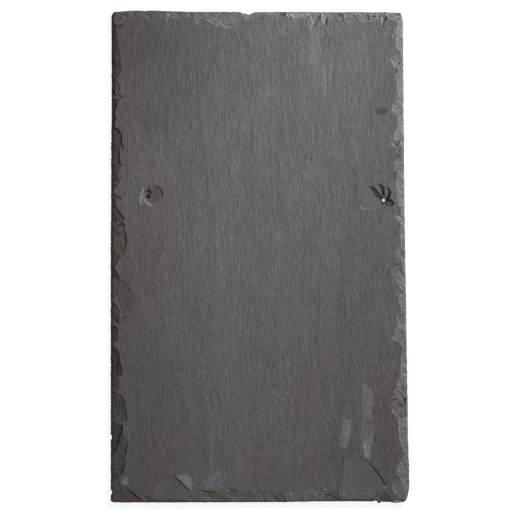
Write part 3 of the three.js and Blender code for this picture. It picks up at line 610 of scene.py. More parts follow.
PATCHES = (
    # The scuff near the foot.
    patch((1.73, 1.76, 1.67), 84.3, -163.5, 8.1, -3.2, 1, -5.1, -1, -8.1, -2, -7.2, -2.1, -6.1, -4, -4.1,
        -2.1, 4.1, -1, 3.1, 1, 9.2, 2.1, 9.1, slope=(0.012, 0), soft=0.7),
    # The chalky streak to the right of it.
    patch((1.2, 1.26, 1.2), 103.6, -189.1, 2.6, 4.6, 4.6, -1.5, 2.5, -6.2, -1, -7.1, -1.5, -6.6, -3.1, 1.5,
        -2.5, 9.2, soft=2.4),
    patch((1.54, 1.55, 1.55), 103.6, -128.9, 3.1, 1.5, 4.1, -4.6, 3.5, -2, 0.6, -24.5, 1, -8.2, 0.8, -10.2,
        -0.8, -10.2, -2.1, -9.1, -2, -9.7, -3.1, -0.5, -3.5, 9.1, -1.8, 14.3, 0.8, 16.3, -0.4, 20.4,
        soft=1.8),
    # The two lighter layers at the foot of the big flake.
    patch((1.13, 1.11, 1.16), 108.7, -240.1, 3.6, 3.1, 4.6, -1.1, -0.5, -5.6, -3.1, -3.5, -3.8, 2, soft=1.6,
        calm=0.6),
    patch((1.7, 1.88, 1.84), -86.1, -222.8, 5.1, 1.1, 7.2, -1.1, 4, -4, 1.1, -5.1, -1.1, -7.2, -2, 2.1,
        -5.1, 5.1, -5.1, 5.1, soft=1.5),
    patch((0.81, 0.86, 0.82), 7.8, -229.9, 9.1, 1.5, 13.3, -0.5, -0.5, -9.1, -9.7, -1.6, -10.2, 3.1,
        soft=1.6, calm=0.85),
    patch((1.95, 2.12, 2.16), -141.2, -230.9, 1.3, 3, 2, 2.6, 1.4, 2.3, 1.5, -2.3, 0.4, -3.6, -0.2, -3,
        -3.3, -1.1, soft=1),
    # The smooth scale to the left of the pale one, and the smooth step near the big flake.
    patch((0.99, 1.01, 0.98), -107.2, -245.2, 0.5, 5.1, 2.8, 6.1, 3.5, 3.6, 6.2, -1.5, 1.5, -6.2,
        -1.5, -7.1, soft=1.2, calm=0.8),
    patch((1.2, 1.22, 1.18), 48.6, -235.5, 15.3, -2.1, 12.2, -2.5, 4.1, -4.1, -6.1, 1, -7.2, 2.1,
        -12.2, -4.6, -7.2, 2, soft=1.2, calm=0.6),
    # The grey of the left edge's lower block.
    patch((1.07, 1.14, 1.15), -145.2, -160.5, 5.1, 6.6, 4, -2.6, 0.5, -9.1, -4, -4.1, -6.7, 0, soft=2),
    # The pale drop and the light crumb in the head, and the pale chip under the tail, whose strong tint also
    # undoes the lip's painted shade there.
    patch((1.24, 1.28, 1.26), 62.3, 248, 4.1, -0.5, 0.3, -5.1, -0.3, -6.2, -1.7, -1, -1.9, 6.1, soft=1,
        calm=0.7),
    patch((8, 8.4, 7.6), 136.5, -248.3, 7.9, 0, 0, -2, -7.9, 0, soft=0.6),
    patch((1.16, 1.17, 1.17), -66.5, 248, -0.4, -4.6, 1, -3.6, 2.8, -3.2, 2.5, 2.7, 1.5, 3.6, -1, 5.1,
        soft=0.8, calm=0.9),
    patch((1.14, 1.12, 1.14), 136, -226, 4, 1, 6, -6, 1, -12, -7, -4, -4, 7, soft=1.5),
    patch((1, 0.96, 0.89), 134.7, -229.9, 3.6, 3.6, 4.1, 1.5, 3.1, -5.1, 0, -7.1, -6.2, -1.1, -3, 4.1,
        soft=1.2, calm=0.7),
    patch((0.9, 0.87, 0.86), 47.1, 246.4, 2.5, 0.2, 1.8, -3.2, 0.4, -5.1, -1.2, -3.9, -2.3, 2.9, -1.2, 5.1,
        soft=0.7),
    patch((1.03, 1, 1.06), 96.5, 248.5, 12.2, -0.5, 2.1, -4.6, -1, -3.1, -5.1, 0.5, -5.1, 4.1, soft=1,
        calm=0.7),
    patch((0.86, 0.85, 0.86), 138.8, -8.1, 6.1, 1.6, 1.1, -5.1, -2.1, -7.7, -3.5, 5.1, soft=1),
    patch((0.65, 0.58, 0.53), -150.3, -200.3, 3, 4.1, 2.3, 5.1, 1.6, 6.1, 1.6, 7.1, 1.4, 7.2, -3.3, -1.1,
        -3.6, 4.1, -4.1, -3, soft=1.2),
    # Painted shade on the upper end of the big flake in the left edge, in place of a steeper fall of its
    # floor.
    patch((0.87, 0.87, 0.86), -149.3, -14.7, 6.1, -5.1, 8.2, -9.2, 2, -4.6, -8.2, -2.5, -8.1, 0, soft=3),
    patch((0.78, 0.78, 0.74), -149.3, -13.7, 3, -3.5, 2.5, -5.6, -1.4, -4.6, -4.1, 2.5, soft=1),
    # The faces of the lilac block in the right edge.
    patch((0.76, 0.68, 0.7), 134.7, 86.3, 5.1, 0, 0, -6.6, -4.5, 0.5, soft=1.5),
    # The smooth flake beside the right nail hole, and the pale petal beside the left one.
    patch((1.04, 1.05, 1.08), 101, 52.6, 2.6, -3.6, 4.1, -1.5, 9.2, 1.3, 6.1, 2.2, 2, 3.5, -2, 6, -5.5, 5.5,
        -5.2, 5.5, -4.1, -3, -4.7, -8.5, soft=1, calm=0.8),
    patch((1.42, 1.46, 1.46), -124.6, 59.2, 3.8, 9.7, 3.3, 1, 1.3, -4.1, -1.5, -5.6, 0.2, -5.6, -4, -1.2,
        soft=1.2),
    patch((0.8, 0.74, 0.72), -105.5, 72, 4.3, -3.6, 1.2, -3.4, -0.2, -4.3, -4.8, -4.2, -4.5, 0.5,
        -0.5, 10.5, soft=1.5),
    patch((1.24, 1.25, 1.25), -148.8, 174, 2.5, 0.5, 1.1, -3.5, -1.1, -3.6, -2.2, 0.5, soft=0.8),
    patch((1.15, 1.16, 1.17), -149.3, -51.9, 3, 0.5, 1.6, -3.1, -1.1, -6.1, -3.5, 0, soft=0.8),
    patch((1.16, 1.17, 1.17), 139.3, 139.3, 6.2, 0, 0.6, -8.1, -0.6, -7.7, -5.1, 0.5, soft=0.9),
    patch((1.14, 1.15, 1.15), 139.3, 40.9, 5.1, 0, 0.5, -6.1, -5.1, 0, soft=0.9),
    patch((0.92, 0.93, 0.93), 136.3, 153.6, 8.6, 0, 0, -10.2, -7.6, 0, soft=0.9),
    patch((1.12, 1.12, 1.12), 114.3, 249, 11.3, 0, -0.5, -6.1, -9.2, 0, soft=0.9),
    patch((1.1, 1.1, 1.1), -57.5, 248.5, 24.5, 0, 0, -7.2, -21.5, 0, soft=0.9),
    # The pale fan near the foot, and the blue-grey fleck to the left of it.
    patch((1.09, 1.12, 1.15), -59.6, -235, 5.1, 8.2, 7.2, 6.1, 8.1, 5.6, 5.6, -4.6, -1.5, -8.2, -8.1, -7.1,
        -9.2, -2.6, soft=4),
    patch((1.08, 1.13, 1.17), -104.4, -187.1, 4, 8.2, 4.6, 2, 1.6, -10.2, -1.1, -12.2, -5.1, -4.1, -3, 7.2,
        soft=4),
    patch((1.06, 1, 1.035), -122.8, -170.7, 7.1, -2.1, 3.1, -12.2, -3.1, -11.2, -6.1, 6.1, soft=3.5),
    patch((1.055, 0.985, 1.03), -110.6, -195.2, 7.2, -4.1, 0, -16.3, -6.1, -6.1, -3.1, 12.2, soft=3.5),
    patch((1.05, 0.985, 1.02), -92.2, -190.1, 6.1, -4.1, -1, -17.3, -6.1, -6.2, -1, 15.3, soft=3.5),
    patch((1.08, 1.1, 1.1), 46.5, -234, 11.2, 2.1, 5.1, -6.2, -7.1, -6.1, -8.2, 2.1, soft=1.5),
)

# The last of the face at each edge: its width at the edge's two ends, how far it falls, and
# its tint. The left and tail tints are painted shade, where those edges face away from the lamp,
# and the right one is painted light, where that edge faces it.
LIPS = {
    Edge.LEFT: ((2.3, 4.0), 1.4, (0.26, 0.19, 0.10)),
    Edge.RIGHT: ((2.2, 2.2), 0.5, (1.22, 1.22, 1.22)),
    Edge.HEAD: ((1.2, 1.0), 0.4, (0.97, 0.94, 0.92)),
    Edge.TAIL: ((1.5, 1.5), 1.3, (0.48, 0.44, 0.43)),
}


@dataclass(frozen=True)
class Crater:
    """The spall round a nail hole, as flat facets between points.

    Each point is x, y and its drop below the weather face. A facet is three of the points,
    each named by its letter.
    """

    points: tuple[float, ...]
    facets: str

    NAMES = "abcdefghijklmnopqrstuvwxyABCDEFGHIJKLMNOPQR"

    def corners(self) -> list[Array]:
        """The three corners of each facet."""
        points = np.reshape(self.points, (-1, 3))
        return [points[[self.NAMES.index(name) for name in facet]] for facet in self.facets.split()]


LEFT_CRATER = Crater((
    -106.3, 73.4, 0.1, -104.1, 71.4, 0.6, -100.2, 69.3, 0.75, -99.3, 65.9, 0.75, -99.3, 62.6, 0.5,
    -100.4, 58.8, 0.2, -103.9, 54.7, 0.1, -108.9, 53, 0.1, -112.2, 51.8, 0.1, -115.7, 56.2, 0.1,
    -118.9, 60.2, 0.2, -116.3, 61.3, 1.4, -114.1, 57.5, 1.5, -111.6, 55.1, 1.3, -109.2, 54.9, 0.9,
    -118.1, 69.4, 0, -121.8, 64.9, 0.05, -124.6, 59.2, 0.3, -121.6, 56.7, 0.3, -121.1, 53.3, 0.1,
    -116, 64.5, 1.3, -113.3, 73.5, 0, -113.3, 67.4, 1.6, -114.3, 68.1, 0.3, -112.3, 68.1, 0.3,
    -117.2, 67.6, 0.1, -110.3, 67.7, 0.2, -111, 64.5, 1.6, -111, 59.5, 1.5, -107.5, 64.9, 1.1,
    -110.1, 70.5, 0.2
), (
    "aFb FEb bEc cEd dEe eEf fED fDo fog goh FBE BCE ECD Don hno hin ijn jmn jkm klm lmD mDn kls "
    "ksr rql krl qul qpu pAu uAw xwA vxw vwy ywB wBC uwC ulC lCD rst FBy"
))
RIGHT_CRATER = Crater((
    108.7, 71.5, 0, 103.6, 61.8, 0, 101.3, 52.3, 0.2, 104.3, 49.3, 0.4, 108.9, 48.2, 0.5,
    118.3, 49.3, 0.8, 124, 50.2, 1.1, 125.1, 54.5, 1.8, 125.1, 59.4, 1.6, 115.3, 69.9, 0.45,
    117.4, 64.9, 0.9, 120.5, 60.5, 1.25, 112.1, 72.7, 0, 116.4, 71.4, 0, 120.6, 68.1, 0.1,
    122.8, 64.3, 0.35, 124.3, 60.4, 0.9, 121, 74.9, 0, 124.3, 69.8, 0.7, 125.7, 65.9, 1,
    126.5, 61, 1.5, 123.2, 75.3, 0, 127.5, 71, 0.05, 127.1, 66.4, 0.3, 127.9, 61.4, 0.9,
    129.5, 71.4, 0.5, 130.9, 66.1, 1.1, 131.3, 62.8, 1.6, 130.5, 59.3, 2.2, 131.7, 69.8, 0.6,
    133.9, 66.2, 0.6, 134.1, 64.1, 0.2, 132.2, 60, 0.5, 134.5, 57.7, 0.9, 136.5, 55.5, 0.9,
    133.9, 52.3, 0.8, 132.5, 51, 0.2, 130.6, 57.7, 1.6, 132.6, 53.4, 0.3, 130.7, 52.2, 0.9,
    129.1, 53, 0.3, 127.3, 52.1, 0.8, 125.5, 51.9, 0.2
), (
    "abk ajk bkl bli bic cid dih deh efh fgh ajm mjn njk nko okl olp pli piq iqu npo prs orp rsp "
    "pst ptq qtu rvs vsw swx sxt txy tuy wAx AxB xBy ByD yBC CyD uyD AEB EFB FBC FGC GCH CHD HDM "
    "HIM IJM JKM KNM KLN NMO LNO OMP OPQ PQR PMh Phg RPh Rgh"
))


@dataclass(frozen=True)
class NailHole:
    """One punched hole, with the thin broken ledges of stone that stand out inside it.

    Each ledge is its height in the slate, and the middle and radius of the opening in it.
    """

    name: str
    middle: Point
    crater: Crater
    ledges: tuple[tuple[float, float, float, float], ...]
    width_at_face: float = 4.6
    width_at_back: float = 5.4


LEFT_HOLE = NailHole(
    "left nail hole", (-113.5, 62.0), LEFT_CRATER,
    ((4.6, -114.2, 61.2, 2.3), (3.1, -115.4, 61.6, 1.5), (1.7, -112.0, 60.2, 1.5)),
)
RIGHT_HOLE = NailHole(
    "right nail hole", (127.5, 57.0), RIGHT_CRATER,
    ((3.8, 126.4, 57.8, 1.85), (2.4, 126.2, 58.1, 1.58), (1.1, 126.4, 57.8, 2.0)),
)


# ---- The outline ----

@dataclass
class Outline:
    """The dressed outline, as a map from the plain blank to the real slate.

    Each edge's line is written as places along it, each followed by how far in from the
    straight the outline lies there.
    """

    sizes: Sizes
    wobble: float = 0.34
    reach: float = 8.0
    corners: tuple[tuple[int, int, float, float], ...] = (
        (-1, -1, 5.0, 2.0), (1, -1, 6.0, 12.0), (1, 1, 3.0, 9.0), (-1, 1, 5.0, 5.0))
    lines: dict[Edge, tuple[float, ...]] = field(default_factory=lambda: {
        Edge.LEFT: (-243, -0.4, -241.5, 0.6, -240, 1, -238.5, 0.5, -237, -0.4, -187, -0.4, -185.5, 0.6,
            -184, 1, -182.5, 0.5, -181, -0.4, 20, -0.4, 50, 0, 115, 0.05, 147, 0.6, 210, 0.5, 235, 0.4),
        Edge.RIGHT: (-240, 0.3, -236, -0.6, -212, -0.9, -200, -0.3, -110, -0.2, 60, 0, 130, -0.4, 165, -0.5,
            190, -0.9, 236, -1, 244, -0.6),
        Edge.HEAD: (-146, -0.6, -130, -1.7, -100, -1.5, -80, -0.8, -40, -0.5, -20, -0.4, -17, 1.2,
            -13.5, 1.8, -11, 2.6, -8.5, 1.4, -5.5, 0, -3.5, -0.2, 40, -0.4, 60, -0.3, 80, -0.1, 126, -0.2,
            133, 0.3, 140, 0.3),
        Edge.TAIL: (-100, -0.5, 30, -0.1, 50, 0.4, 90, 0.7, 115, 0.5, 118, 1.4, 119.6, 0.9, 120.6, -1.1,
            122.4, -1.2, 123.4, 0.2, 133, 0.1, 135.5, -0.8, 142, -0.7, 144, -0.1),
    })

    def __post_init__(self) -> None:
        """Seeds the wobble of the broken edge."""
        self.noise = Noise(11)

    def inset(self, edge: Edge, along: Array) -> Array:
        """How far in from its straight line an edge lies.

        Args:
            edge: Which edge.
            along: Places along it.

        Returns:
            The inset at each place, in millimetres.
        """
        places, depths = np.reshape(self.lines[edge], (-1, 2)).T
        lane = 40.0 * list(Edge).index(edge) + np.zeros_like(along)
        fine = self.noise.at(along, lane, 2.1, 7.0)
        broad = self.noise.at(along + 500.0, lane, 8.0, 7.0)
        return np.interp(along, places, depths) + self.wobble * (0.8 * fine + 0.6 * broad)

    def place(self, a: Array, b: Array) -> tuple[Array, Array]:
        """Moves points of the blank to where they lie in the slate.

        Args:
            a, b: Distances from the blank's middle along X and along Y.

        Returns:
            The real x and y.
        """
        sizes = self.sizes
        x, y = a.copy(), b.copy()
        for side_x, side_y, along_x, along_y in self.corners:
            alpha = np.clip((side_x * a - sizes.width / 2.0 + along_x) / along_x, 0.0, 1.0)
            beta = np.clip((side_y * b - sizes.length / 2.0 + along_y) / along_y, 0.0, 1.0)
            x += side_x * along_x * alpha * (np.sqrt(1.0 - beta**2 / 2.0) - 1.0)
            y += side_y * along_y * beta * (np.sqrt(1.0 - alpha**2 / 2.0) - 1.0)
        x = sizes.left + (x + sizes.width / 2.0) * sizes.width_at(y) / sizes.width
        moved_x, moved_y = x.copy(), y.copy()
        for edge in Edge:
            distance, along = (a, y) if edge.runs_up else (b, x)
            in_from_edge = sizes.halves(edge)[1] - edge.side * distance
            fade = np.clip(1.0 - in_from_edge / self.reach, 0.0, 1.0) ** 2
            near = fade > 0.0
            moved = moved_x if edge.runs_up else moved_y
            moved[near] -= edge.side * fade[near] * self.inset(edge, along[near])
        return moved_x, moved_y


# ---- The lattice and the relief on it ----

@dataclass
class Lattice:
    """A fine lattice over the blank, whose lines run along the sides of the nail holes."""

    sizes: Sizes
    outline: Outline
    holes: tuple[NailHole, ...]
    columns: int = 816
    rows: int = 1344

    def __post_init__(self) -> None:
        """Lays the lines out and finds where each crossing lies."""
        half_width, half_length = self.sizes.width / 2.0, self.sizes.length / 2.0
        across, up = [], []
        for hole in self.holes:
            x, y = hole.middle
            half = hole.width_at_face / 2.0
            scale = self.sizes.width_at(y) / self.sizes.width
            across += [(x + side * half - self.sizes.left) / scale - half_width for side in (-1, 1)]
            up += [y + side * half for side in (-1, 1)]
        self.a, at_columns = self.lines(half_width, self.columns, across)
        self.b, at_rows = self.lines(half_length, self.rows, up)
        self.columns_of = list(zip(at_columns[::2], at_columns[1::2]))
        self.rows_of = list(zip(at_rows[::2], at_rows[1::2]))
        grid_a, grid_b = np.meshgrid(self.a, self.b)
        self.x, self.y = self.outline.place(grid_a, grid_b)
        self.is_hole = np.zeros((self.rows, self.columns), bool)
        for (first, last), (low, high) in zip(self.columns_of, self.rows_of):
            self.is_hole[low:high, first:last] = True

    @staticmethod
    def lines(half: float, cells: int, stations: list[float]) -> tuple[Array, list[int]]:
        """Nearly even lines from -half to half, some of which run through the stations.

        Args:
            half: Half the length that the lines cover.
            cells: How many cells lie between the first line and the last.
            stations: Where lines have to be.

        Returns:
            The lines' places, and each station's line.
        """
        nearest = [round((station + half) / (2.0 * half) * cells) for station in stations]
        fixed = {0: -half, cells: half} | dict(zip(nearest, stations))
        known = sorted(fixed)
        return np.interp(np.arange(cells + 1), known, [fixed[line] for line in known]), nearest

    def inward(self, edge: Edge) -> Array:
        """How far in from an edge each of the lines beside it is."""
        return self.sizes.halves(edge)[1] - edge.side * (self.a if edge.runs_up else self.b)


@dataclass
class Relief:
    """The height of the weather face and of the back, and how broken the stone is."""

    lattice: Lattice
    lamina: float = 0.5
    terracing: float = 0.35
    bevel_reach: float = 3.0
    coarse_plates: float = 0.36
    fine_plates: float = 0.15
    grain: float = 0.05
    margin: float = 4.0

    # The right edge's stone is lighter and the left's darker, partly as painted light and painted shade.
    STONE_BY_EDGE = {
        Edge.LEFT: Stone.BROWN, Edge.RIGHT: Stone.FRESH,
        Edge.HEAD: Stone.HEAD, Edge.TAIL: Stone.TAIL,
    }
    CRUMBLE_BY_EDGE = {Edge.LEFT: 0.45, Edge.RIGHT: 1.0, Edge.HEAD: 0.9, Edge.TAIL: 0.5}
    DEPTH_BY_EDGE = {Edge.LEFT: 2.8, Edge.RIGHT: 2.2, Edge.HEAD: 2.2, Edge.TAIL: 1.7}
    BEVEL_BY_EDGE = {Edge.LEFT: 1.7, Edge.RIGHT: 1.7, Edge.HEAD: 1.5, Edge.TAIL: 1.0}

    def __post_init__(self) -> None:
        """Works out every height."""
        self.noises = [Noise(seed) for seed in range(20, 32)]
        x, y = self.lattice.x, self.lattice.y
        self.drop = np.zeros_like(x)
        self.crumble = np.zeros_like(x)
        self.calm = np.zeros_like(x)
        self.tint = np.ones(x.shape + (3,))
        self.warp = tuple(0.45 * self.noises[2 * axis].at(x, y, 3.2, 3.2)
                          + 0.2 * self.noises[2 * axis + 1].at(x, y, 1.3, 1.3) for axis in (0, 1))
        for edge in Edge:
            self.bevel(edge)
            for one in SCARS[edge]:
                self.strike(edge, one)
        self.terrace()
        self.broken = smooth((self.drop - 0.02) / 0.15) * (0.4 + 0.6 * self.crumble)
        self.crumb()
        for hole in self.lattice.holes:
            self.spall(hole.crater)
        for edge in Edge:
            self.lip(edge)
        for patch in PATCHES:
            self.lay(patch)
        for trace, widths in LINES.items():
            for width, paths in widths.items():
                for path in paths:
                    self.draw(trace, width, trodden(path))
        self.top = self.lattice.sizes.thickness + self.riven() - self.drop
        self.back = self.riven_back()

    def window(self, edge: Edge, start: float, end: float, reach: float) -> Window:
        """The part of the lattice that a stretch of an edge covers.

        Args:
            edge: Which edge.
            start, end: Where the stretch starts and ends along it.
            reach: How far it reaches in from the edge.

        Returns:
            The part's rows and columns.
        """
        lattice = self.lattice
        lines = lattice.b if edge.runs_up else lattice.a
        first = int(np.searchsorted(lines, start - self.margin))
        last = int(np.searchsorted(lines, end + self.margin))
        near = np.flatnonzero(lattice.inward(edge) <= reach + self.margin)
        along, inward = slice(first, last), slice(int(near[0]), int(near[-1]) + 1)
        return (along, inward) if edge.runs_up else (inward, along)

    def around(self, path: Array) -> Window:
        """The part of the lattice that holds a path.

        Args:
            path: The path's points.

        Returns:
            The part's rows and columns.
        """
        (left, low), (right, high) = path.min(0) - self.margin, path.max(0) + self.margin
        rows = slice(*(int(i) for i in np.searchsorted(self.lattice.b, (low, high))))
        middle_row = min((rows.start + rows.stop) // 2, self.lattice.rows)
        across = self.lattice.x[middle_row]
        return rows, slice(*(int(i) for i in np.searchsorted(across, (left, right))))

    def frame(self, edge: Edge, window: Window) -> tuple[Array, Array]:
        """Measures a part of the face from an edge.

        Args:
            edge: Which edge.
            window: The part's rows and columns.

        Returns:
            Each crossing's place along the edge, and its distance in from it.
        """
        rows, columns = window
        along = (self.lattice.y if edge.runs_up else self.lattice.x)[window]
        inward = self.lattice.inward(edge)
        inward = inward[None, columns] if edge.runs_up else inward[rows, None]
        return along, np.broadcast_to(inward, along.shape)

    def rim(self, edge: Edge, reach: float) -> tuple[Window, Array, Array]:
        """The strip of the face along the whole of an edge.

        Args:
            edge: Which edge.
            reach: How wide the strip is.

        Returns:
            Its rows and columns, and its crossings' places along the edge and distances in.
        """
        half = self.lattice.sizes.halves(edge)[0]
        window = self.window(edge, -half, half, reach)
        return window, *self.frame(edge, window)

    def frayed(self, window: Window, amount: float) -> tuple[Array, Array]:
        """Each crossing's x and y, pushed about so that what is cut there comes out ragged."""
        return (self.lattice.x[window] + amount * self.warp[0][window],
                self.lattice.y[window] + amount * self.warp[1][window])

    def cut(self, window: Window, drop: Array, stone: Stone, crumble: float,
            calm: float = 0.0) -> None:
        """Cuts the face down, where it isn't as low already.

        Args:
            window: The rows and columns that it is cut in.
            drop: How far it is cut below the weather face at each crossing.
            stone: The stone that this lays bare.
            crumble: How far that stone breaks into small plates, from 0 to 1.
            calm: How far its grain is smoothed away, from 0 to 1.
        """
        deeper = drop > self.drop[window]
        self.drop[window] = np.where(deeper, drop, self.drop[window])
        fresh = deeper & (drop > SHALLOWEST)
        self.tint[window][fresh] = stone.value
        self.crumble[window][fresh] = crumble
        self.calm[window][fresh] = calm

    def stain(self, window: Window, tint: Tint, share: Array) -> None:
        """Multiplies the stone's tint in a window by a share of another one."""
        self.tint[window] *= 1.0 + (np.array(tint) - 1.0) * share[..., None]

    def bevel(self, edge: Edge) -> None:
        """Cuts the narrow bevel that the knife leaves all along an edge.

        Args:
            edge: Which edge.
        """
        window, along, inward = self.rim(edge, 5.0)
        ragged = self.noises[4].at(along, np.full_like(along, 60.0 * edge.side), 6.0, 5.0)
        inside = self.bevel_reach + 1.1 * ragged + self.warp[0][window] - inward
        floor = 0.3 + self.BEVEL_BY_EDGE[edge] * np.clip(inside / self.bevel_reach, 0.0, 1.0)
        self.cut(window, smooth(inside / 1.2) * floor, self.STONE_BY_EDGE[edge],
                 self.CRUMBLE_BY_EDGE[edge])

    def strike(self, edge: Edge, one: Scar) -> None:
        """Strikes one scar off an edge.

        Args:
            edge: Which edge.
            one: The scar.
        """
        window = self.window(edge, *one.extent)
        along, inward = self.frame(edge, window)
        drop = one.drop(along + self.warp[0][window], inward + self.warp[1][window],
                        self.DEPTH_BY_EDGE[edge])
        is_flake = one.form is Form.FLAKE
        self.cut(window, drop, one.stone or self.STONE_BY_EDGE[edge],
                 self.CRUMBLE_BY_EDGE[edge] * (0.2 if is_flake else 1.0), 1.0 if is_flake else 0.0)

    def terrace(self) -> None:
        """Breaks the scars' slopes into steps, one thin layer of slate high."""
        x, y = self.lattice.x, self.lattice.y
        layers = self.drop / self.lamina + 0.35 * self.noises[5].at(x, y, 14.0, 14.0)
        layers -= np.floor(layers)
        stepped = self.drop + self.terracing * self.lamina * (smooth(2.2 * layers - 0.6) - layers)
        self.drop = np.where(self.drop > 0.0, np.maximum(stepped, 0.0), 0.0)

    def crumb(self) -> None:
        """Breaks the scars' floors into small plates, each tilted its own way."""
        near = self.broken > 0.0
        x, y = self.lattice.x[near], self.lattice.y[near]
        lean = x + 0.45 * y
        coarse, shade = Plates(61).at(lean + 2.0 * self.warp[0][near], y, 4.6, 7.5)
        fine, fine_shade = Plates(62).at(lean + self.warp[0][near], y + self.warp[1][near], 2.3, 3.4)
        grain = self.grain * self.noises[10].at(x, y, 1.6, 1.6)
        much = self.broken[near]
        self.drop[near] -= much * (self.coarse_plates * coarse + self.fine_plates * fine + grain)
        self.tint[near] *= (1.0 + much * (0.09 * shade + 0.07 * fine_shade))[:, None]

    def lip(self, edge: Edge) -> None:
        """Rounds the last of the face down to the edge, and tints it: painted shade on the left and tail
        edges, which face away from the lamp, and painted light on the right one.

        Args:
            edge: Which edge.
        """
        window, along, inward = self.rim(edge, 3.0)
        half = self.lattice.sizes.halves(edge)[0]
        lane = np.full_like(along, 80.0 * edge.side)
        widths, fall, tint = LIPS[edge]
        width = np.interp(along, (-half, half), widths)
        width = width * (1.0 + 0.45 * self.noises[6].at(along, lane, 3.5, 5.0))
        fall = fall * (1.0 + 0.4 * self.noises[7].at(along, lane, 4.0, 5.0))
        near = np.clip(1.0 - inward / width, 0.0, 1.0)
        self.drop[window] += fall * near ** 1.3
        self.stain(window, tint, smooth(2.0 * near))

    def spall(self, crater: Crater) -> None:
        """Cuts one crater's facets into the face.

        Args:
            crater: The crater.
        """
        for corners in crater.corners():
            window = self.around(corners[:, :2])
            x, y = self.frayed(window, 0.5)
            (ax, ay, da), (bx, by, db), (cx, cy, dc) = corners
            area = (bx - ax) * (cy - ay) - (cx - ax) * (by - ay)
            beta = ((x - ax) * (cy - ay) - (cx - ax) * (y - ay)) / area
            gamma = ((bx - ax) * (y - ay) - (x - ax) * (by - ay)) / area
            inside = (beta >= -0.01) & (gamma >= -0.01) & (beta + gamma <= 1.01)
            drop = np.where(inside, da + beta * (db - da) + gamma * (dc - da), 0.0)
            self.cut(window, drop, Stone.PUNCHED, 0.0)

    def draw(self, trace: Trace, width: float, path: Array) -> None:
        """Draws one crack, seam, lifted leaf or pale rim into the face, the dark lines with their painted
        shadow and the pale ones with their painted highlight.

        Args:
            trace: What kind of line it is.
            width: Its width.
            path: Its points.
        """
        window = self.around(path)
        x, y = self.frayed(window, 0.8)
        if len(path) == 1:
            distance, share = np.hypot(x - path[0, 0], y - path[0, 1]), 0.5
        else:
            distance, share = to_path(x, y, path)
        ragged = 1.0 + 0.35 * self.noises[8].at(x, y, 1.7, 2.3)
        half = 0.5 * width * (0.4 + 0.6 * np.sqrt(np.sin(math.pi * share))) * ragged
        core = smooth((1.35 * half - distance) / (0.95 * half)) * np.clip(ragged + 0.15, 0.5, 1.0)
        depth, tint = trace.value
        self.drop[window] += depth * core
        self.stain(window, tint, core)

    def lay(self, patch: Patch) -> None:
        """Lays one patch of another colour and slope into the face.

        Args:
            patch: The patch.
        """
        outline = patch.outline
        window = self.around(outline)
        x, y = self.frayed(window, 1.0)
        distance = to_path(x, y, np.concatenate([outline, outline[:1]]))[0]
        inside = np.zeros(x.shape, bool)
        for (ax, ay), (bx, by) in zip(outline, np.roll(outline, -1, axis=0)):
            if ay != by:
                inside ^= ((ay > y) != (by > y)) & (x < ax + (bx - ax) * (y - ay) / (by - ay))
        mask = smooth(np.where(inside, distance, -distance) / patch.soft + 0.5)
        middle = outline.mean(0)
        self.calm[window] = np.maximum(self.calm[window], mask * patch.calm)
        east, north = patch.slope
        self.drop[window] += mask * (east * (x - middle[0]) + north * (y - middle[1]))
        self.stain(window, patch.tint, mask)

    def riven(self) -> Array:
        """The gentle waves of the split face, long up the slate and short across it.

        Returns:
            The height that they add at each crossing.
        """
        x, y = self.lattice.x, self.lattice.y
        swayed = x + 6.0 * self.noises[8].at(x, y, 70.0, 160.0)
        waves = ((0.20, 62.0, 170.0), (0.10, 25.0, 95.0), (0.05, 9.0, 48.0))
        total = sum(height * self.noises[9].at(swayed + 300.0 * index, y, across, along)
                    for index, (height, across, along) in enumerate(waves))
        return total * (1.0 - 0.8 * smooth(self.drop / 0.3))

    def riven_back(self) -> Array:
        """The split back, which has waves of its own and rests on the lowest of them.

        Returns:
            Its height at each crossing.
        """
        x, y = self.lattice.x, self.lattice.y
        waves = ((0.20, 55.0, 150.0), (0.09, 22.0, 90.0), (0.04, 8.0, 50.0))
        total = sum(height * self.noises[11 - index].at(x + 900.0, y, across, along)
                    for index, (height, across, along) in enumerate(waves))
        return total - total.min()


# ---- The mesh ----

def ring_of(columns: Crossing, rows: Crossing) -> list[Crossing]:
    """The crossings round a box of cells.

    Args:
        columns, rows: The box's first and last lines, across and up.

    Returns:
        The crossings, anticlockwise from the first column and row.
    """
    (left, right), (low, high) = columns, rows
    return ([(i, low) for i in range(left, right)] + [(right, j) for j in range(low, high)]
            + [(i, high) for i in range(right, left, -1)]
            + [(left, j) for j in range(high, low, -1)])


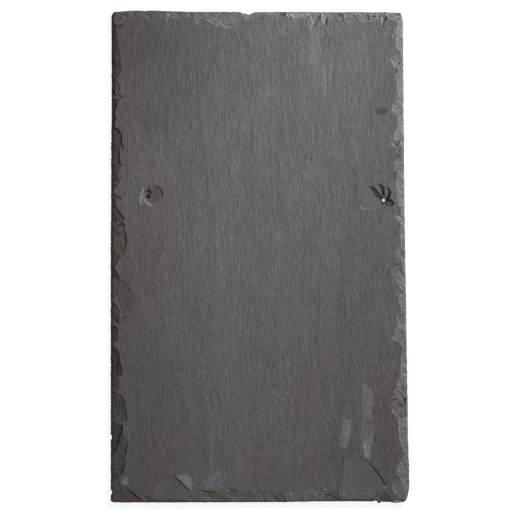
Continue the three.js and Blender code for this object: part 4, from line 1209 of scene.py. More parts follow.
@dataclass
class Blocks:
    """A lattice face split into blocks, small where its relief is fine and large elsewhere."""

    lattice: Lattice
    height: Array
    tint: Array
    tolerance: float
    widest: int = 4
    tallest: int = 5
    tint_weight: float = 0.22

    def __post_init__(self) -> None:
        """Splits the face and marks the crossings that the blocks use."""
        self.found = self.split()
        self.used = np.zeros(self.height.shape, bool)
        for column, row, wide, tall in self.found:
            for i in (column, column + wide):
                for j in (row, row + tall):
                    self.used[j, i] = True

    def misfits(self, column: Array, row: Array, wide: int, tall: int) -> tuple[Array, Array, Array]:
        """How badly flat blocks fit the face.

        Args:
            column, row: Each block's first column and row.
            wide, tall: The blocks' width and height in cells.

        Returns:
            Each block's worst misfit, and its worst misfits across and up.
        """
        rows = row[:, None, None] + np.arange(tall + 1)[None, :, None]
        columns = column[:, None, None] + np.arange(wide + 1)[None, None, :]
        across = np.linspace(0.0, 1.0, wide + 1)[None, None, :]
        up = np.linspace(0.0, 1.0, tall + 1)[None, :, None]
        worst = np.zeros((3, len(column)))
        for values, weight in ((self.height, 1.0), (self.lattice.x, 0.5), (self.lattice.y, 0.5),
                               (self.tint, self.tint_weight)):
            z = values[rows, columns]
            by_row = z[:, :, :1] + (z[:, :, -1:] - z[:, :, :1]) * across
            by_column = z[:, :1] + (z[:, -1:] - z[:, :1]) * up
            flat = by_row[:, :1] + (by_row[:, -1:] - by_row[:, :1]) * up
            for place, fitted in enumerate((flat, by_row, by_column)):
                misfit = weight * np.abs(z - fitted).max(axis=(1, 2))
                worst[place] = np.maximum(worst[place], misfit)
        return worst[0], worst[1], worst[2]

    def split(self) -> list[tuple[int, int, int, int]]:
        """Halves blocks until each fits.

        Returns:
            Each block's first column, first row, width and height in cells, outside the holes.
        """
        row, column = np.mgrid[0:self.lattice.rows:2**self.tallest,
                               0:self.lattice.columns:2**self.widest]
        waiting = {(self.widest, self.tallest): [(column.ravel(), row.ravel())]}
        found: list[tuple[int, int, int, int]] = []
        filled = np.zeros((self.lattice.rows + 1, self.lattice.columns + 1), int)
        filled[1:, 1:] = self.lattice.is_hole.cumsum(0).cumsum(1)
        for total in range(self.widest + self.tallest, -1, -1):
            for p in range(self.widest, -1, -1):
                q = total - p
                parts = waiting.pop((p, q), None)
                if parts is None:
                    continue
                column = np.concatenate([part[0] for part in parts])
                row = np.concatenate([part[1] for part in parts])
                wide, tall = 2**p, 2**q
                holed = (filled[row + tall, column + wide] - filled[row, column + wide]
                         - filled[row + tall, column] + filled[row, column])
                column, row, holed = (part[holed < wide * tall] for part in (column, row, holed))
                worst, across, up = self.misfits(column, row, wide, tall)
                fits = (worst <= self.tolerance) & (holed == 0) | (wide * tall == 1)
                found += [(int(i), int(j), wide, tall) for i, j in zip(column[fits], row[fits])]
                by_column = (across >= up) | (tall == 1)
                by_column = np.where(holed > 0, wide >= tall, by_column) & (wide > 1) | (tall == 1)
                for cuts, size in ((~fits & by_column, (p - 1, q)), (~fits & ~by_column, (p, q - 1))):
                    i, j = column[cuts], row[cuts]
                    if not len(i):
                        continue
                    step_i = wide // 2 if size[0] < p else 0
                    step_j = tall // 2 if size[1] < q else 0
                    waiting.setdefault(size, []).extend([(i, j), (i + step_i, j + step_j)])
        return found

    def polygons(self) -> list[tuple[Crossing, ...]]:
        """The triangles and quads that the blocks make.

        Returns:
            Each one's corners, anticlockwise, as columns and rows.
        """
        made: list[tuple[Crossing, ...]] = []
        extra: list[Crossing] = []
        for column, row, wide, tall in self.found:
            right, top = column + wide, row + tall
            ring = [(i, j) for i, j in ring_of((column, right), (row, top)) if self.used[j, i]]
            if len(ring) == 4:
                made.append(tuple(ring))
            elif wide > 1 and tall > 1:
                middle = (column + wide // 2, row + tall // 2)
                extra.append(middle)
                made += [(ring[k], ring[(k + 1) % len(ring)], middle) for k in range(len(ring))]
            else:
                made += self.zipped(ring, (column, row), int(tall > 1))
        for i, j in extra:
            self.used[j, i] = True
        return made

    @staticmethod
    def zipped(ring: list[Crossing], start: Crossing, axis: int) -> list[tuple[Crossing, ...]]:
        """Triangles for a block one cell thick, from one long side to the other.

        Args:
            ring: The corners and crossings round the block, anticlockwise.
            start: The block's first column and row.
            axis: The axis that the block is long along, 0 for X and 1 for Y.

        Returns:
            The triangles.
        """
        other = 1 - axis
        first = start[other]
        near = sorted((point for point in ring if point[other] == first), key=lambda p: p[axis])
        far = sorted((point for point in ring if point[other] != first), key=lambda p: p[axis])
        made = []
        i = j = 0
        for tip in sorted(near[1:] + far[1:], key=lambda point: point[axis]):
            corner = (near[i], far[j], tip)
            made.append(corner if axis == 1 else corner[::-1])
            i, j = (i + 1, j) if tip[other] == first else (i, j + 1)
        return made


@dataclass(frozen=True)
class Panel:
    """One part of the bake map: where it starts, and how much of it a millimetre takes."""

    u: float
    v: float
    per_mm: float


@dataclass
class Shell:
    """Collects the points and faces of one closed mesh, with its bake map."""

    points: list[Array] = field(default_factory=list)
    looks: list[Array] = field(default_factory=list)
    faces: list[list[int]] = field(default_factory=list)
    places: list[Array] = field(default_factory=list)
    count: int = 0

    def add_points(self, points: Array, tints: Array, broken: Array | float = 1.0,
                   calm: Array | float = 0.0) -> Array:
        """Adds points.

        Args:
            points: Their places in millimetres.
            tints: The tint at each: the stone's colour, with any painted shade and light laid on the face.
            broken: How broken the stone is at each, from 0 to 1.
            calm: How far the grain is smoothed away at each, from 0 to 1.

        Returns:
            Their numbers in the mesh.
        """
        numbers = np.arange(self.count, self.count + len(points))
        self.points.append(points)
        levels = [np.broadcast_to(level, len(points)) for level in (broken, calm)]
        self.looks.append(np.column_stack([tints, *levels]))
        self.count += len(points)
        return numbers

    def add_face(self, numbers: list[int], places: Array) -> None:
        """Adds one face, by its corners' numbers and their places in the bake map."""
        self.faces.append(numbers)
        self.places.append(places)

    def mesh(self, name: str) -> bpy.types.Mesh:
        """Makes Blender's mesh.

        Args:
            name: Its name.

        Returns:
            The mesh, in metres.
        """
        made = bpy.data.meshes.new(name)
        totals = np.array([len(face) for face in self.faces], np.int32)
        made.vertices.add(self.count)
        places = np.concatenate(self.points) * MM
        made.vertices.foreach_set("co", places.astype(np.float32).ravel())
        made.loops.add(int(totals.sum()))
        made.loops.foreach_set("vertex_index", np.concatenate(self.faces).astype(np.int32))
        made.polygons.add(len(totals))
        starts = totals.cumsum() - totals
        made.polygons.foreach_set("loop_start", starts.astype(np.int32))
        made.polygons.foreach_set("loop_total", totals)
        made.polygons.foreach_set("use_smooth", np.ones(len(totals), bool))
        tint = made.attributes.new("stone_tint_and_painted_light", "FLOAT_COLOR", "POINT")
        looks = np.concatenate(self.looks).astype(np.float32)
        colours = np.column_stack([looks[:, :3], np.ones(self.count, np.float32)])
        tint.data.foreach_set("color", colours.ravel())
        for title, column in (("broken", 3), ("calm", 4)):
            level = made.attributes.new(title, "FLOAT", "POINT")
            level.data.foreach_set("value", looks[:, column].copy())
        bake = made.uv_layers.new(name="OFBake")
        bake.data.foreach_set("uv", np.concatenate(self.places).astype(np.float32).ravel())
        made.update(calc_edges=True)
        made.validate()
        return made


def put(name: str, data: bpy.types.ID) -> bpy.types.Object:
    """Puts an object into the scene.

    Args:
        name: The object's name.
        data: Its mesh, camera or lamp.

    Returns:
        The object.
    """
    made = bpy.data.objects.new(name, data)
    bpy.context.scene.collection.objects.link(made)
    return made


@dataclass
class SlateBody:
    """Builds the slate's mesh from its lattice and relief."""

    sizes: Sizes
    holes: tuple[NailHole, ...] = (LEFT_HOLE, RIGHT_HOLE)
    face_tolerance: float = 0.05
    back_tolerance: float = 0.06
    sharp_angle: float = math.radians(24.0)
    face_panel: Panel = Panel(0.006, 0.006, 0.00188)
    back_panel: Panel = Panel(0.590, 0.006, 0.00130)
    wall_panel: Panel = Panel(0.590, 0.680, 0.00130)
    wall_rows: tuple[float, ...] = (0.22, 0.5, 0.78)
    wall_run: float = 300.0
    wall_lane: float = 10.0
    wall_gap: Point = (3.0, 9.0)
    bore_lanes: tuple[int, int] = (7, 8)
    land_depth: float = 0.22
    # The land's waves: how much each adds, how long it is, and which part of the noise it takes.
    land_waves: tuple[Triple, ...] = ((0.30, 4.0, 0.0), (0.12, 1.4, 3.0))
    # A ledge's rings: how many half thicknesses above its middle, and how far out it stands there.
    ledge_half: float = 0.28
    ledge_rings: tuple[Point, ...] = ((2.0, 0.12), (1.0, 0.9), (-1.0, 1.0), (-2.0, 0.1))
    flare: float = 4.0

    def build(self) -> bpy.types.Object:
        """Builds the slate.

        Returns:
            The slate as an object.
        """
        self.lattice = Lattice(self.sizes, Outline(self.sizes), self.holes)
        self.relief = Relief(self.lattice)
        self.shell = Shell()
        tint = self.relief.tint.mean(axis=2)
        face = Blocks(self.lattice, self.relief.top, tint, self.face_tolerance)
        back = Blocks(self.lattice, self.relief.back, np.ones_like(tint), self.back_tolerance)
        lattice = self.lattice
        rings = [ring_of((0, lattice.columns), (0, lattice.rows))]
        rings += [ring_of(*box) for box in zip(lattice.columns_of, lattice.rows_of)]
        for ring in rings:
            for i, j in ring:
                either = face.used[j, i] or back.used[j, i]
                face.used[j, i] = back.used[j, i] = either
        rings = [[(i, j) for i, j in ring if face.used[j, i]] for ring in rings]
        top = self.add_side(face, self.relief.top, self.relief.broken, self.face_panel, True)
        under = self.add_side(back, self.relief.back, np.zeros_like(self.relief.back),
                              self.back_panel, False)
        self.add_walls(rings[0], top, under)
        for hole, ring in zip(self.holes, rings[1:]):
            self.add_bore(hole, ring, top, under)
        slate = put("riven_slate", self.shell.mesh("riven_slate"))
        slate.data.set_sharp_from_angle(angle=self.sharp_angle)
        triangles = sum(len(face) - 2 for face in self.shell.faces)
        LOG.info("slate: %d points, %d triangles", self.shell.count, triangles)
        return slate

    def spread(self, x: Array, y: Array) -> tuple[Array, Array]:
        """Widens the holes towards the back, where the pick went in.

        Args:
            x, y: Where the face's crossings lie.

        Returns:
            The back's x and y.
        """
        x, y = x.copy(), y.copy()
        for hole in self.holes:
            half = hole.width_at_face / 2.0
            grow = (hole.width_at_back - hole.width_at_face) / 2.0
            away_x, away_y = x - hole.middle[0], y - hole.middle[1]
            distance = np.maximum(np.abs(away_x), np.abs(away_y))
            fade = np.clip(1.0 - (distance - half) / self.flare, 0.0, 1.0) * grow / half
            x += away_x * fade
            y += away_y * fade
        return x, y

    def add_side(self, blocks: Blocks, height: Array, broken: Array, panel: Panel,
                 is_face: bool) -> Array:
        """Adds the weather face or the back.

        Args:
            blocks: The side's blocks.
            height: The side's height at each crossing.
            broken: How broken the stone is at each crossing.
            panel: The side's part of the bake map.
            is_face: Whether it is the weather face.

        Returns:
            The mesh's number for each crossing, and -1 where there is none.
        """
        polygons = blocks.polygons()
        x, y = self.lattice.x, self.lattice.y
        if not is_face:
            x, y = self.spread(x, y)
        rows, columns = np.nonzero(blocks.used)
        is_corner = np.zeros(height.shape, bool)
        for polygon in polygons:
            for i, j in polygon:
                is_corner[j, i] = True
        kept = is_corner[rows, columns]
        rows, columns = rows[kept], columns[kept]
        points = np.stack([x[rows, columns], y[rows, columns], height[rows, columns]], axis=1)
        numbers = np.full(height.shape, -1)
        numbers[rows, columns] = self.shell.add_points(
            points, self.relief.tint[rows, columns] if is_face else np.ones((len(rows), 3)),
            broken[rows, columns], self.relief.calm[rows, columns] if is_face else 0.0)
        u = panel.u + (x - self.sizes.left) * panel.per_mm
        v = panel.v + (y - self.sizes.tail) * panel.per_mm
        for polygon in polygons:
            ordered = polygon if is_face else polygon[::-1]
            self.shell.add_face([int(numbers[j, i]) for i, j in ordered],
                                np.array([(u[j, i], v[j, i]) for i, j in ordered]))
        return numbers

    def add_rings(self, rings: list[Array], lengths: Array, drops: list[Array],
                  first_lane: int) -> None:
        """Joins rings of points, from the face down to the back, into a wall.

        Args:
            rings: Each ring's numbers in the mesh, from the top.
            lengths: How far round the wall each point is, with the whole length last.
            drops: Each ring's distance down the wall at each point.
            first_lane: The first lane of the bake map's wall panel that the wall takes.
        """
        panel = self.wall_panel
        gap_u, gap_v = self.wall_gap
        count = len(rings[0])
        for upper, lower, above, below in zip(rings, rings[1:], drops, drops[1:]):
            for k in range(count):
                n = (k + 1) % count
                start, end = lengths[k], lengths[k + 1]
                lanes = math.floor((start + end) / 2.0 / self.wall_run)
                u0, u1 = (panel.u + (at - lanes * self.wall_run + gap_u) * panel.per_mm
                          for at in (start, end))
                base = (first_lane + lanes) * self.wall_lane + gap_v
                v = [panel.v + (base - drop) * panel.per_mm
                     for drop in (above[k], below[k], below[n], above[n])]
                self.shell.add_face(
                    [int(upper[k]), int(lower[k]), int(lower[n]), int(upper[n])],
                    np.array([(u0, v[0]), (u0, v[1]), (u1, v[2]), (u1, v[3])]))

    def sides(self, ring: list[Crossing]) -> tuple[Array, ...]:
        """What a wall between the face and the back follows.

        Args:
            ring: The crossings that the wall goes round.

        Returns:
            The ring's x and y, its heights on the face and on the back, and how far round each
            of its points is, with the whole length last.
        """
        columns, rows = np.array(ring).T
        x, y = self.lattice.x[rows, columns], self.lattice.y[rows, columns]
        steps = np.hypot(np.roll(x, -1) - x, np.roll(y, -1) - y)
        run = np.concatenate(([0.0], steps.cumsum()))
        return x, y, self.relief.top[rows, columns], self.relief.back[rows, columns], run

    def add_walls(self, ring: list[Crossing], top: Array, under: Array) -> None:
        """Adds the broken land all round, with its layers standing out unevenly.

        Args:
            ring: The crossings round the outline.
            top, under: The mesh's number for each crossing of the face and of the back.
        """
        x, y, high, low, run = self.sides(ring)
        columns, rows = np.array(ring).T
        ahead_x, ahead_y = np.roll(x, -2) - np.roll(x, 2), np.roll(y, -2) - np.roll(y, 2)
        length = np.hypot(ahead_x, ahead_y)
        noise = Noise(41)
        rings, drops = [top[rows, columns]], [np.zeros_like(x)]
        for index, share in enumerate(self.wall_rows):
            inset = np.full_like(x, self.land_depth)
            for much, wavelength, shift in self.land_waves:
                lane = np.full_like(x, 7.0 * index + shift)
                inset += much * noise.at(run[:-1], lane, wavelength, 5.0)
            inset = np.maximum(inset, 0.0)
            points = np.stack([x - inset * ahead_y / length, y + inset * ahead_x / length,
                               high + (low - high) * share], axis=1)
            # The land takes the tint of the face's rim, with the lips' painted shade and light.
            rings.append(self.shell.add_points(points, self.relief.tint[rows, columns]))
            drops.append((high - low) * share)
        self.add_rings(rings + [under[rows, columns]], run, drops + [high - low], 0)

    def add_bore(self, hole: NailHole, ring: list[Crossing], top: Array, under: Array) -> None:
        """Adds the wall of a nail hole, with its ledges.

        Args:
            hole: The hole.
            ring: The crossings round it.
            top, under: The mesh's number for each crossing of the face and of the back.
        """
        ring = ring[::-1]
        x, y, high, low, run = self.sides(ring)
        columns, rows = np.array(ring).T
        wide_x, wide_y = self.spread(x, y)
        noise = Noise(43)
        rings, drops = [top[rows, columns]], [np.zeros_like(x)]
        tint = np.tile(Stone.BROWN.value, (len(ring), 1))
        for height, ledge_x, ledge_y, radius in hole.ledges:
            for offset, share in self.ledge_rings:
                z = height + offset * self.ledge_half
                down = np.clip((high - z) / np.maximum(high - low, 0.1), 0.05, 0.95)
                px, py = x + (wide_x - x) * down, y + (wide_y - y) * down
                away = np.hypot(px - ledge_x, py - ledge_y)
                ragged = 1.0 + 0.08 * noise.at(px, py + 20.0 * height, 1.6, 1.6)
                kept = 1.0 + share * (np.minimum(radius * ragged / away, 1.0) - 1.0)
                px, py = ledge_x + (px - ledge_x) * kept, ledge_y + (py - ledge_y) * kept
                points = np.stack([px, py, np.minimum(z, high - 0.1 * down)], axis=1)
                rings.append(self.shell.add_points(points, tint))
                drops.append((high - low) * down)
        lane = self.bore_lanes[self.holes.index(hole)]
        self.add_rings(rings + [under[rows, columns]], run, drops + [high - low], lane)


# ---- Shading ----

class Value:
    """One socket of a shader, which takes part in sums as a number does."""

    def __init__(self, graph: "Graph", socket: bpy.types.NodeSocket) -> None:
        """Wraps a socket of a graph."""
        self.graph = graph
        self.socket = socket

    def __add__(self, other: "Value | float") -> "Value":
        """The sum."""
        return self.graph.math("ADD", self, other)

    def __radd__(self, other: float) -> "Value":
        """The sum, from the right."""
        return self.graph.math("ADD", other, self)

    def __sub__(self, other: "Value | float") -> "Value":
        """The difference."""
        return self.graph.math("SUBTRACT", self, other)

    def __rsub__(self, other: float) -> "Value":
        """The difference, from the right."""
        return self.graph.math("SUBTRACT", other, self)

    def __mul__(self, other: "Value | float") -> "Value":
        """The product."""
        return self.graph.math("MULTIPLY", self, other)

    def __rmul__(self, other: float) -> "Value":
        """The product, from the right."""
        return self.graph.math("MULTIPLY", other, self)

    def __truediv__(self, other: "Value | float") -> "Value":
        """The quotient."""
        return self.graph.math("DIVIDE", self, other)


Input = Value | float | tuple


class Graph:
    """Builds one material's or world's nodes."""

    def __init__(self, tree: bpy.types.NodeTree) -> None:
        """Empties a node tree and takes it over."""
        self.tree = tree
        tree.nodes.clear()

    def node(self, kind: str, settings: dict[str, object] | None = None,
             inputs: dict[str | int, Input] | None = None, output: str | int = 0) -> Value:
        """Adds a node.

        Args:
            kind: The node's type.
            settings: What is set on the node itself.
            inputs: The values or links of its sockets, by name or by number.
            output: Which output is returned, by name or by number.

        Returns:
            The output.
        """
        made = self.tree.nodes.new(kind)
        for name, setting in (settings or {}).items():
            if name == "stops":
                self.fill(made.color_ramp, setting)
            else:
                setattr(made, name, setting)
        for key, value in (inputs or {}).items():
            socket = self.pick(made.inputs, key)
            if isinstance(value, Value):
                self.tree.links.new(value.socket, socket)
            else:
                socket.default_value = value
        return Value(self, self.pick(made.outputs, output)) if made.outputs else Value(self, None)

    @staticmethod
    def fill(ramp: bpy.types.ColorRamp, stops: tuple[tuple[float, Tint], ...]) -> None:
        """Gives a colour ramp its stops.

        Args:
            ramp: The ramp.
            stops: Each stop's place and colour.
        """
        while len(ramp.elements) < len(stops):
            ramp.elements.new(1.0)
        for element, (place, colour) in zip(ramp.elements, stops):
            element.position = place
            element.color = (*colour, 1.0)

    @staticmethod
    def pick(sockets: bpy.types.bpy_prop_collection, key: str | int) -> bpy.types.NodeSocket:
        """The socket with a name or number, among those that the node's settings switch on."""
        open_ones = [socket for socket in sockets if socket.enabled]
        return open_ones[key] if isinstance(key, int) else next(
            socket for socket in open_ones if socket.name == key)

    def math(self, operation: str, *values: Input) -> Value:
        """One step of arithmetic."""
        return self.node("ShaderNodeMath", {"operation": operation}, dict(enumerate(values)))

    def held(self, value: Value) -> Value:
        """The value held between 0 and 1."""
        return self.node("ShaderNodeClamp", None, {"Value": value})

    def rise(self, value: Value, low: float, high: float) -> Value:
        """A smooth rise from 0 to 1 as value goes from low to high."""
        return self.node("ShaderNodeMapRange", {"interpolation_type": "SMOOTHSTEP"},
                         {"Value": value, "From Min": low, "From Max": high})

    def mix(self, share: Input, first: Input, second: Input, blend: str = "MIX") -> Value:
        """A mix of two colours."""
        return self.node("ShaderNodeMix", {"data_type": "RGBA", "blend_type": blend},
                         {"Factor": share, "A": first, "B": second})

    def blend(self, share: Input, first: Input, second: Input) -> Value:
        """A mix of two values."""
        return self.node("ShaderNodeMix", {"data_type": "FLOAT"},
                         {"Factor": share, "A": first, "B": second})

    def vector(self, operation: str, first: Input, second: Input) -> Value:
        """One step of arithmetic on vectors."""
        return self.node("ShaderNodeVectorMath", {"operation": operation}, {0: first, 1: second})

    def sized(self, place: Value, *sizes: float) -> Value:
        """A place measured in units of a size along each axis."""
        return self.vector("MULTIPLY", place, tuple(1.0 / size for size in sizes))

    def noise(self, place: Value, sizes: Triple, detail: float, roughness: float = 0.55) -> Value:
        """Noise about 0, mostly between -0.3 and 0.3.

        Args:
            place: Where it is asked for.
            sizes: The size of its lumps along each axis.
            detail: How many finer layers it has.
            roughness: How strong those are.

        Returns:
            The noise.
        """
        return self.node("ShaderNodeTexNoise", {"noise_dimensions": "3D"},
                         {"Vector": self.sized(place, *sizes), "Scale": 1.0,
                          "Detail": detail, "Roughness": roughness}) - 0.5

    def swayed(self, place: Value, lumps: Value, amount: float) -> Value:
        """A place moved about by soft noise.

        Args:
            place: The place.
            lumps: The place in units of the lumps that move together.
            amount: About three times as far as anything is moved.

        Returns:
            The moved place.
        """
        pushes = self.node("ShaderNodeTexNoise", {"noise_dimensions": "3D"},
                           {"Vector": lumps, "Scale": 1.0, "Detail": 1.0}, "Color")
        pushes = self.vector("SUBTRACT", pushes, (0.5, 0.5, 0.5))
        return self.vector("ADD", place, self.vector("MULTIPLY", pushes, (amount,) * 3))


def grey(level: float) -> tuple[float, float, float, float]:
    """An even grey as a colour."""
    return level, level, level, 1.0


@dataclass(frozen=True)
class Mark:
    """A soft patch of colour on the weather face: its middle, its half sizes and its tint. Some marks are
    painted shade and painted light, standing in for light that falls off across the face.
    """

    middle: Point
    half: Point
    tint: Tint
    softness: float = 0.6


MARKS = (
    # Painted shade, darker where the light falls off: the upper left, the lower left, and right of the
    # middle, which is also a little redder.
    Mark((-110, 240), (112, 88), (0.78, 0.765, 0.76), 0.75),
    Mark((-140, -160), (46, 130), (0.93, 0.93, 0.935), 0.7),
    Mark((82, -120), (60, 92), (0.97, 0.955, 0.955)),
    # Painted light, lighter near the top middle.
    Mark((50, 215), (52, 52), (1.06, 1.06, 1.06)),
    # Painted shade in the upper left corner.
    Mark((-119, 226), (26, 22), (0.9, 0.9, 0.9), 0.5),
    # Green.
    Mark((-116, 66), (10, 14), (0.955, 1, 0.985), 0.3),
    # Warm.
    Mark((149, -165), (9, 78), (1.1, 1.045, 1.055), 0.15),
    # Painted shade, darker along the foot.
    Mark((-10, -245), (175, 105), (0.9, 0.895, 0.9), 0.7),
    # Cool.
    Mark((60, 250), (130, 150), (0.942, 1, 0.998), 0.7),
    # Blue.
    Mark((36, 160), (45, 65), (1, 1, 1.022), 0.25),
    Mark((128, -136), (80, 130), (0.99, 1, 1.022), 0.25),
    Mark((108, -70), (40, 150), (0.982, 1, 1.012), 0.22),
    Mark((84, -190), (28, 56), (0.965, 1, 1.02), 0.2),
    Mark((-122, -192), (45, 50), (0.985, 1, 1.05), 0.25),
    # Green.
    Mark((42, 48), (22, 50), (0.965, 1, 0.995), 0.2),
    Mark((-18, 117), (9, 9), (0.955, 1, 1), 0.2),
    Mark((-10.5, 74), (9, 9), (0.955, 1, 1), 0.2),
    # Brown.
    Mark((-130, 175), (14, 85), (1.03, 1, 0.985), 0.25),
    Mark((-108, 20), (22, 88), (1.025, 1, 0.985), 0.2),
    Mark((-128, -34), (16, 46), (1.03, 1, 0.985), 0.2),
    # Olive.
    Mark((-104, 216), (11, 8), (0.93, 1, 0.965), 0.3),
    # Pale.
    Mark((-111, 184), (4.5, 20), (1.06, 1.13, 1.16)),
    # Blue-grey.
    Mark((-108, 150), (8.5, 58), (0.945, 1, 1.012), 0.3),
    # Brown.
    Mark((68, 221), (5, 8), (0.88, 0.86, 0.86)),
    Mark((33, 227), (4, 8), (0.93, 0.9, 0.9)),
    # Pale.
    Mark((56, 212), (5, 24), (1.15, 1.16, 1.18)),
    Mark((68, 182), (9, 20), (1.1, 1.11, 1.12)),
    # A rust stain.
    Mark((123.5, 149), (5.4, 4.4), (0.52, 0.435, 0.42), 0.3),
    # Purple.
    Mark((70, -13), (7, 11), (1.02, 0.975, 1.01), 0.15),
    Mark((83, -50), (9, 9), (1.04, 0.97, 1.01), 0.15),
    Mark((122, -8), (14, 13), (1.03, 0.97, 1), 0.15),
    Mark((66, -106), (15, 12), (1.03, 0.97, 1), 0.15),
    Mark((46, -142), (13, 22), (1.04, 0.965, 1), 0.1),
    Mark((58, -214), (16, 20), (1.045, 0.95, 0.985), 0.08),
    Mark((-4, -216), (24, 14), (1.045, 0.97, 1.02), 0.1),
    Mark((-94, -187), (34, 14), (1.035, 0.975, 1), 0.12),
    Mark((127, -155), (14, 62), (1.045, 0.92, 0.95), 0.12),
    Mark((-112, -212), (22, 30), (1.03, 0.98, 1), 0.15),
    # Darker spots near the foot.
    Mark((-88.5, -204), (3.5, 9), (0.84, 0.82, 0.85), 0.2),
    Mark((-84, -236), (8, 7), (0.9, 0.9, 0.9), 0.3),
    # Pale.
    Mark((98.5, -172), (5, 15), (1.09, 1.08, 1.09), 0.2),
    Mark((112, -203.5), (3, 4.5), (1.22, 1.21, 1.22), 0.2),
    Mark((113.5, -144.5), (2, 9), (1.13, 1.13, 1.13), 0.2),
    Mark((-100.5, -237), (7, 8), (1.1, 1.09, 1.11), 0.05),
    # Blue.
    Mark((-132, -186), (7, 46), (1.06, 1.11, 1.13), 0.25),
    Mark((-47, -228), (13, 11), (1.06, 1.1, 1.15), 0.25),
    Mark((38.5, -237), (9, 9), (1.06, 1.1, 1.16), 0.2),
)


@dataclass(frozen=True)
class SlateFinish:
    """The look of riven slate, and of the stone where it is broken."""

    # The colour from the left edge to the right one: how far across, and what it is there. It is
    # darker towards both edges: partly the stone's own browner and cooler colour there, and partly
    # painted shade where the light falls off towards the sides.
    colours: tuple[tuple[float, Tint], ...] = (
        (0.0, (0.0941, 0.0818, 0.0828)), (0.17, (0.1076, 0.0962, 0.0983)),
        (0.37, (0.1267, 0.1150, 0.1179)), (0.6, (0.1202, 0.1093, 0.1121)),
        (0.73, (0.1112, 0.1025, 0.1071)), (0.81, (0.1030, 0.0964, 0.1017)),
        (1.0, (0.0837, 0.0771, 0.0825)))
    relief: float = 1.34
    cool: Tint = (0.976, 1.006, 0.988)
    warm: Tint = (1.024, 0.994, 1.012)
    roughness: float = 0.74

    def material(self, sizes: Sizes) -> bpy.types.Material:
        """Makes the material.

        Args:
            sizes: The slate's sizes.

        Returns:
            The material.
        """
        made = bpy.data.materials.new("slate")
        made.use_nodes = True
        graph = Graph(made.node_tree)
        place = graph.node("ShaderNodeTexCoord", None, None, "Object")
        place = graph.sized(place, MM, MM, MM)
        x = graph.node("ShaderNodeSeparateXYZ", None, {0: place}, "X")
        y = graph.node("ShaderNodeSeparateXYZ", None, {0: place}, "Y")
        grained = graph.swayed(place, graph.sized(place, 80.0, 170.0, 50.0), 24.0)
        grained = graph.swayed(grained, graph.sized(place, 11.0, 17.0, 20.0), 3.6)
        grained = graph.swayed(grained, graph.sized(place, 3.5, 6.0, 6.0), 1.3)
        ridges = graph.noise(grained, (1.55, 8.5, 1.0), 3.0, 0.6)
        strands = graph.noise(grained, (4.2, 36.0, 2.0), 4.0, 0.66)
        flecks = graph.noise(grained, (1.3, 9.0, 3.0), 1.0)
        bands = graph.noise(grained, (16.0, 130.0, 5.0), 2.0)
        hues = graph.noise(grained, (11.0, 60.0, 4.0), 2.0)
        tatters = graph.noise(grained, (14.0, 24.0, 6.0), 4.0, 0.6)
        grit = graph.noise(place, (1.1, 1.4, 0.8), 2.0)
        lumps = graph.noise(place, (6.0, 6.0, 3.0), 2.0)
        ragged = graph.swayed(place, graph.sized(place, 2.0, 2.0, 2.0), 1.2)
        chips, chip_shade = self.chips(graph, ragged)
        broken = graph.node("ShaderNodeAttribute", {"attribute_name": "broken"}, None, "Fac")
        stone = graph.node("ShaderNodeAttribute", {"attribute_name": "stone_tint_and_painted_light"}, None, "Color")
        across = (x - sizes.left) / sizes.width + 0.18 * hues
        base = graph.node("ShaderNodeValToRGB", {"stops": self.colours}, {"Fac": across})
        motley = graph.held(0.5 + 1.5 * graph.noise(grained, (3.0, 11.0, 9.0), 2.0))
        cast = graph.mix(motley, (*self.cool, 1.0), (*self.warm, 1.0))
        base = graph.mix(1.0, base, cast, "MULTIPLY")
        base = self.marked(graph, base, x, y, 1.1 * tatters + 0.7 * strands + 0.5 * ridges)
        base = graph.mix(1.0, base, stone, "MULTIPLY")
        calm = graph.node("ShaderNodeAttribute", {"attribute_name": "calm"}, None, "Fac")
        # The face's tone follows the same noises that raise its bump, lighter on the ridges and darker in the
        # hollows: partly the grain's own tone, and partly painted light and shade on that relief, both made
        # stronger towards the right edge.
        lively = (1.0 - 0.75 * calm) * (0.94 + 0.2 * across)
        shade = 0.84 * ridges + 0.8 * strands + 0.4 * bands + 0.46 * grit
        shade = shade + 0.36 * graph.rise(flecks, 0.12, 0.3) - 0.28 * graph.rise(flecks, -0.12, -0.3)
        shade = 1.0 + lively * shade
        face = graph.mix(1.0, base, shade, "MULTIPLY")
        shade = 1.0 + 0.7 * grit + 0.4 * lumps + 0.2 * ridges + 0.4 * chip_shade
        fresh = graph.mix(1.0, base, shade, "MULTIPLY")
        colour = graph.mix(broken, face, fresh)
        whole = self.relief * lively * (ridges + 0.9 * strands + 0.2 * grit)
        height = graph.blend(broken, whole, 1.3 * chips + 0.7 * grit + 0.3 * ridges)
        rough = self.roughness + 0.25 * strands + 0.08 * broken
        shader = graph.node("ShaderNodeBsdfPrincipled", None, {
            "Base Color": colour,
            "Roughness": rough,
            "Specular IOR Level": 0.35,
            "Normal": graph.node("ShaderNodeBump", None,
                                 {"Strength": 1.0, "Distance": MM, "Height": height}),
        })
        graph.node("ShaderNodeOutputMaterial", None, {"Surface": shader})
        return made

    @staticmethod
    def chips(graph: Graph, place: Value) -> tuple[Value, Value]:
        """The smallest facets of broken slate.

        Args:
            graph: The material's graph.
            place: Each point's place in millimetres.

        Returns:
            How high the facets stand, in millimetres, and how pale they are, both about 0.
        """
        at = graph.sized(place, 2.2, 3.0, 1.5)
        inputs = {"Vector": at, "Scale": 1.0}
        draw = graph.node("ShaderNodeTexVoronoi", None, inputs, "Color")
        middle = graph.node("ShaderNodeTexVoronoi", None, inputs, "Position")
        tilt = graph.vector("SUBTRACT", draw, (0.5, 0.5, 0.5))
        height = graph.node("ShaderNodeVectorMath", {"operation": "DOT_PRODUCT"},
                            {0: graph.vector("SUBTRACT", at, middle), 1: tilt}, "Value")
        shade = graph.node("ShaderNodeSeparateColor", None, {0: draw}, "Red") - 0.5
        return height + 0.25 * shade, shade

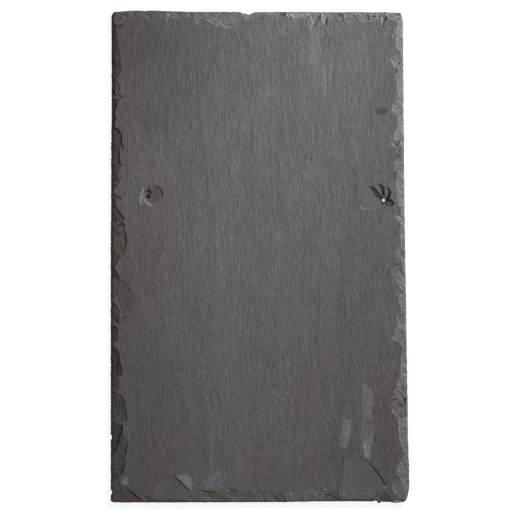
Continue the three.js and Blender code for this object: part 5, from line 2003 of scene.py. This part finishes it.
    def marked(self, graph: Graph, colour: Value, x: Value, y: Value, ragged: Value) -> Value:
        """Lays the marks over the face's colour.

        Args:
            graph: The material's graph.
            colour: The colour below the marks.
            x, y: Each point's place in millimetres.
            ragged: What frays the marks' outlines.

        Returns:
            The colour with the marks.
        """
        for mark in MARKS:
            from_x = (x - mark.middle[0]) / mark.half[0]
            from_y = (y - mark.middle[1]) / mark.half[1]
            far = graph.math("SQRT", from_x * from_x + from_y * from_y) + ragged
            mask = 1.0 - graph.rise(far, 1.0 - mark.softness, 1.0 + mark.softness)
            colour = graph.mix(mask, colour, (*mark.tint, 1.0), "MULTIPLY")
        return colour


# ---- The studio ----

@dataclass
class Studio:
    """A camera straight above the slate, a soft lamp to its upper right, and a white floor."""

    sizes: Sizes
    middle: Point = (-5.0, 2.14)
    view_width: float = 520.2
    camera_height: float = 3.0
    sensor: float = 36.0
    lamp_at: Triple = (0.56, 0.66, 0.58)
    lamp_size: float = 0.32
    lamp_power: float = 12.8
    fill: float = 0.30
    floor_side: float = 12.0
    floor_grey: float = 0.25
    floor_glow: float = 0.86

    def build(self) -> None:
        """Puts up the camera, the lamp, the surroundings and the floor."""
        scene = bpy.context.scene
        scene.view_settings.view_transform = "Standard"
        scene.camera = self.camera()
        self.lamp()
        self.surroundings()
        self.floor()

    def camera(self) -> bpy.types.Object:
        """The camera, level with the slate's face as a copy stand holds it.

        Returns:
            The camera.
        """
        data = bpy.data.cameras.new("camera")
        data.sensor_width = self.sensor
        data.lens = self.sensor * self.camera_height / (self.view_width * MM)
        data.clip_end = 50.0
        camera = put("camera", data)
        height = self.sizes.thickness * MM + self.camera_height
        camera.location = (self.middle[0] * MM, self.middle[1] * MM, height)
        return camera

    def lamp(self) -> None:
        """The soft lamp, aimed at the slate."""
        data = bpy.data.lights.new("soft_lamp", "AREA")
        data.shape = "DISK"
        data.size = self.lamp_size
        data.energy = self.lamp_power
        lamp = put("soft_lamp", data)
        lamp.location = self.lamp_at
        lamp.rotation_euler = Vector(self.lamp_at).to_track_quat("Z", "Y").to_euler()

    @staticmethod
    def seen(graph: Graph) -> Value:
        """1 where a ray shows the background: from the camera, in gloss or through glass."""
        camera, gloss, glass = (graph.node("ShaderNodeLightPath", None, None, f"Is {kind} Ray")
                                for kind in ("Camera", "Glossy", "Transmission"))
        return graph.math("MAXIMUM", graph.math("MAXIMUM", camera, gloss), glass)

    def surroundings(self) -> None:
        """White where it is seen, and a dim even light on the slate."""
        world = bpy.data.worlds.new("surroundings")
        bpy.context.scene.world = world
        world.use_nodes = True
        graph = Graph(world.node_tree)
        strength = graph.blend(self.seen(graph), self.fill, 1.0)
        light = graph.node("ShaderNodeBackground", None, {"Color": grey(1.0), "Strength": strength})
        graph.node("ShaderNodeOutputWorld", None, {"Surface": light})

    def floor(self) -> None:
        """The floor that the slate lies on."""
        half = self.floor_side / 2.0
        mesh = bpy.data.meshes.new("floor")
        mesh.from_pydata([(-half, -half, 0), (half, -half, 0), (half, half, 0), (-half, half, 0)],
                         [], [(0, 1, 2, 3)])
        floor = put("floor", mesh)
        material = bpy.data.materials.new("floor_white")
        material.use_nodes = True
        graph = Graph(material.node_tree)
        matt = graph.node("ShaderNodeBsdfDiffuse", None, {"Color": grey(self.floor_grey)})
        glow = graph.node("ShaderNodeEmission", None,
                          {"Color": grey(1.0), "Strength": self.floor_glow * self.seen(graph)})
        both = graph.node("ShaderNodeAddShader", None, {0: matt, 1: glow})
        graph.node("ShaderNodeOutputMaterial", None, {"Surface": both})
        mesh.materials.append(material)


def main() -> None:
    """Builds the scene."""
    logging.basicConfig(level=logging.INFO, format="%(name)s: %(message)s")
    sizes = Sizes.of_solid()
    LOG.info("sizes: %s", sizes)
    Studio(sizes).build()
    slate = SlateBody(sizes).build()
    slate.data.materials.append(SlateFinish().material(sizes))
    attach(slate, BODY)
    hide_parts(NODE)


if __name__ == "__main__":
    main()
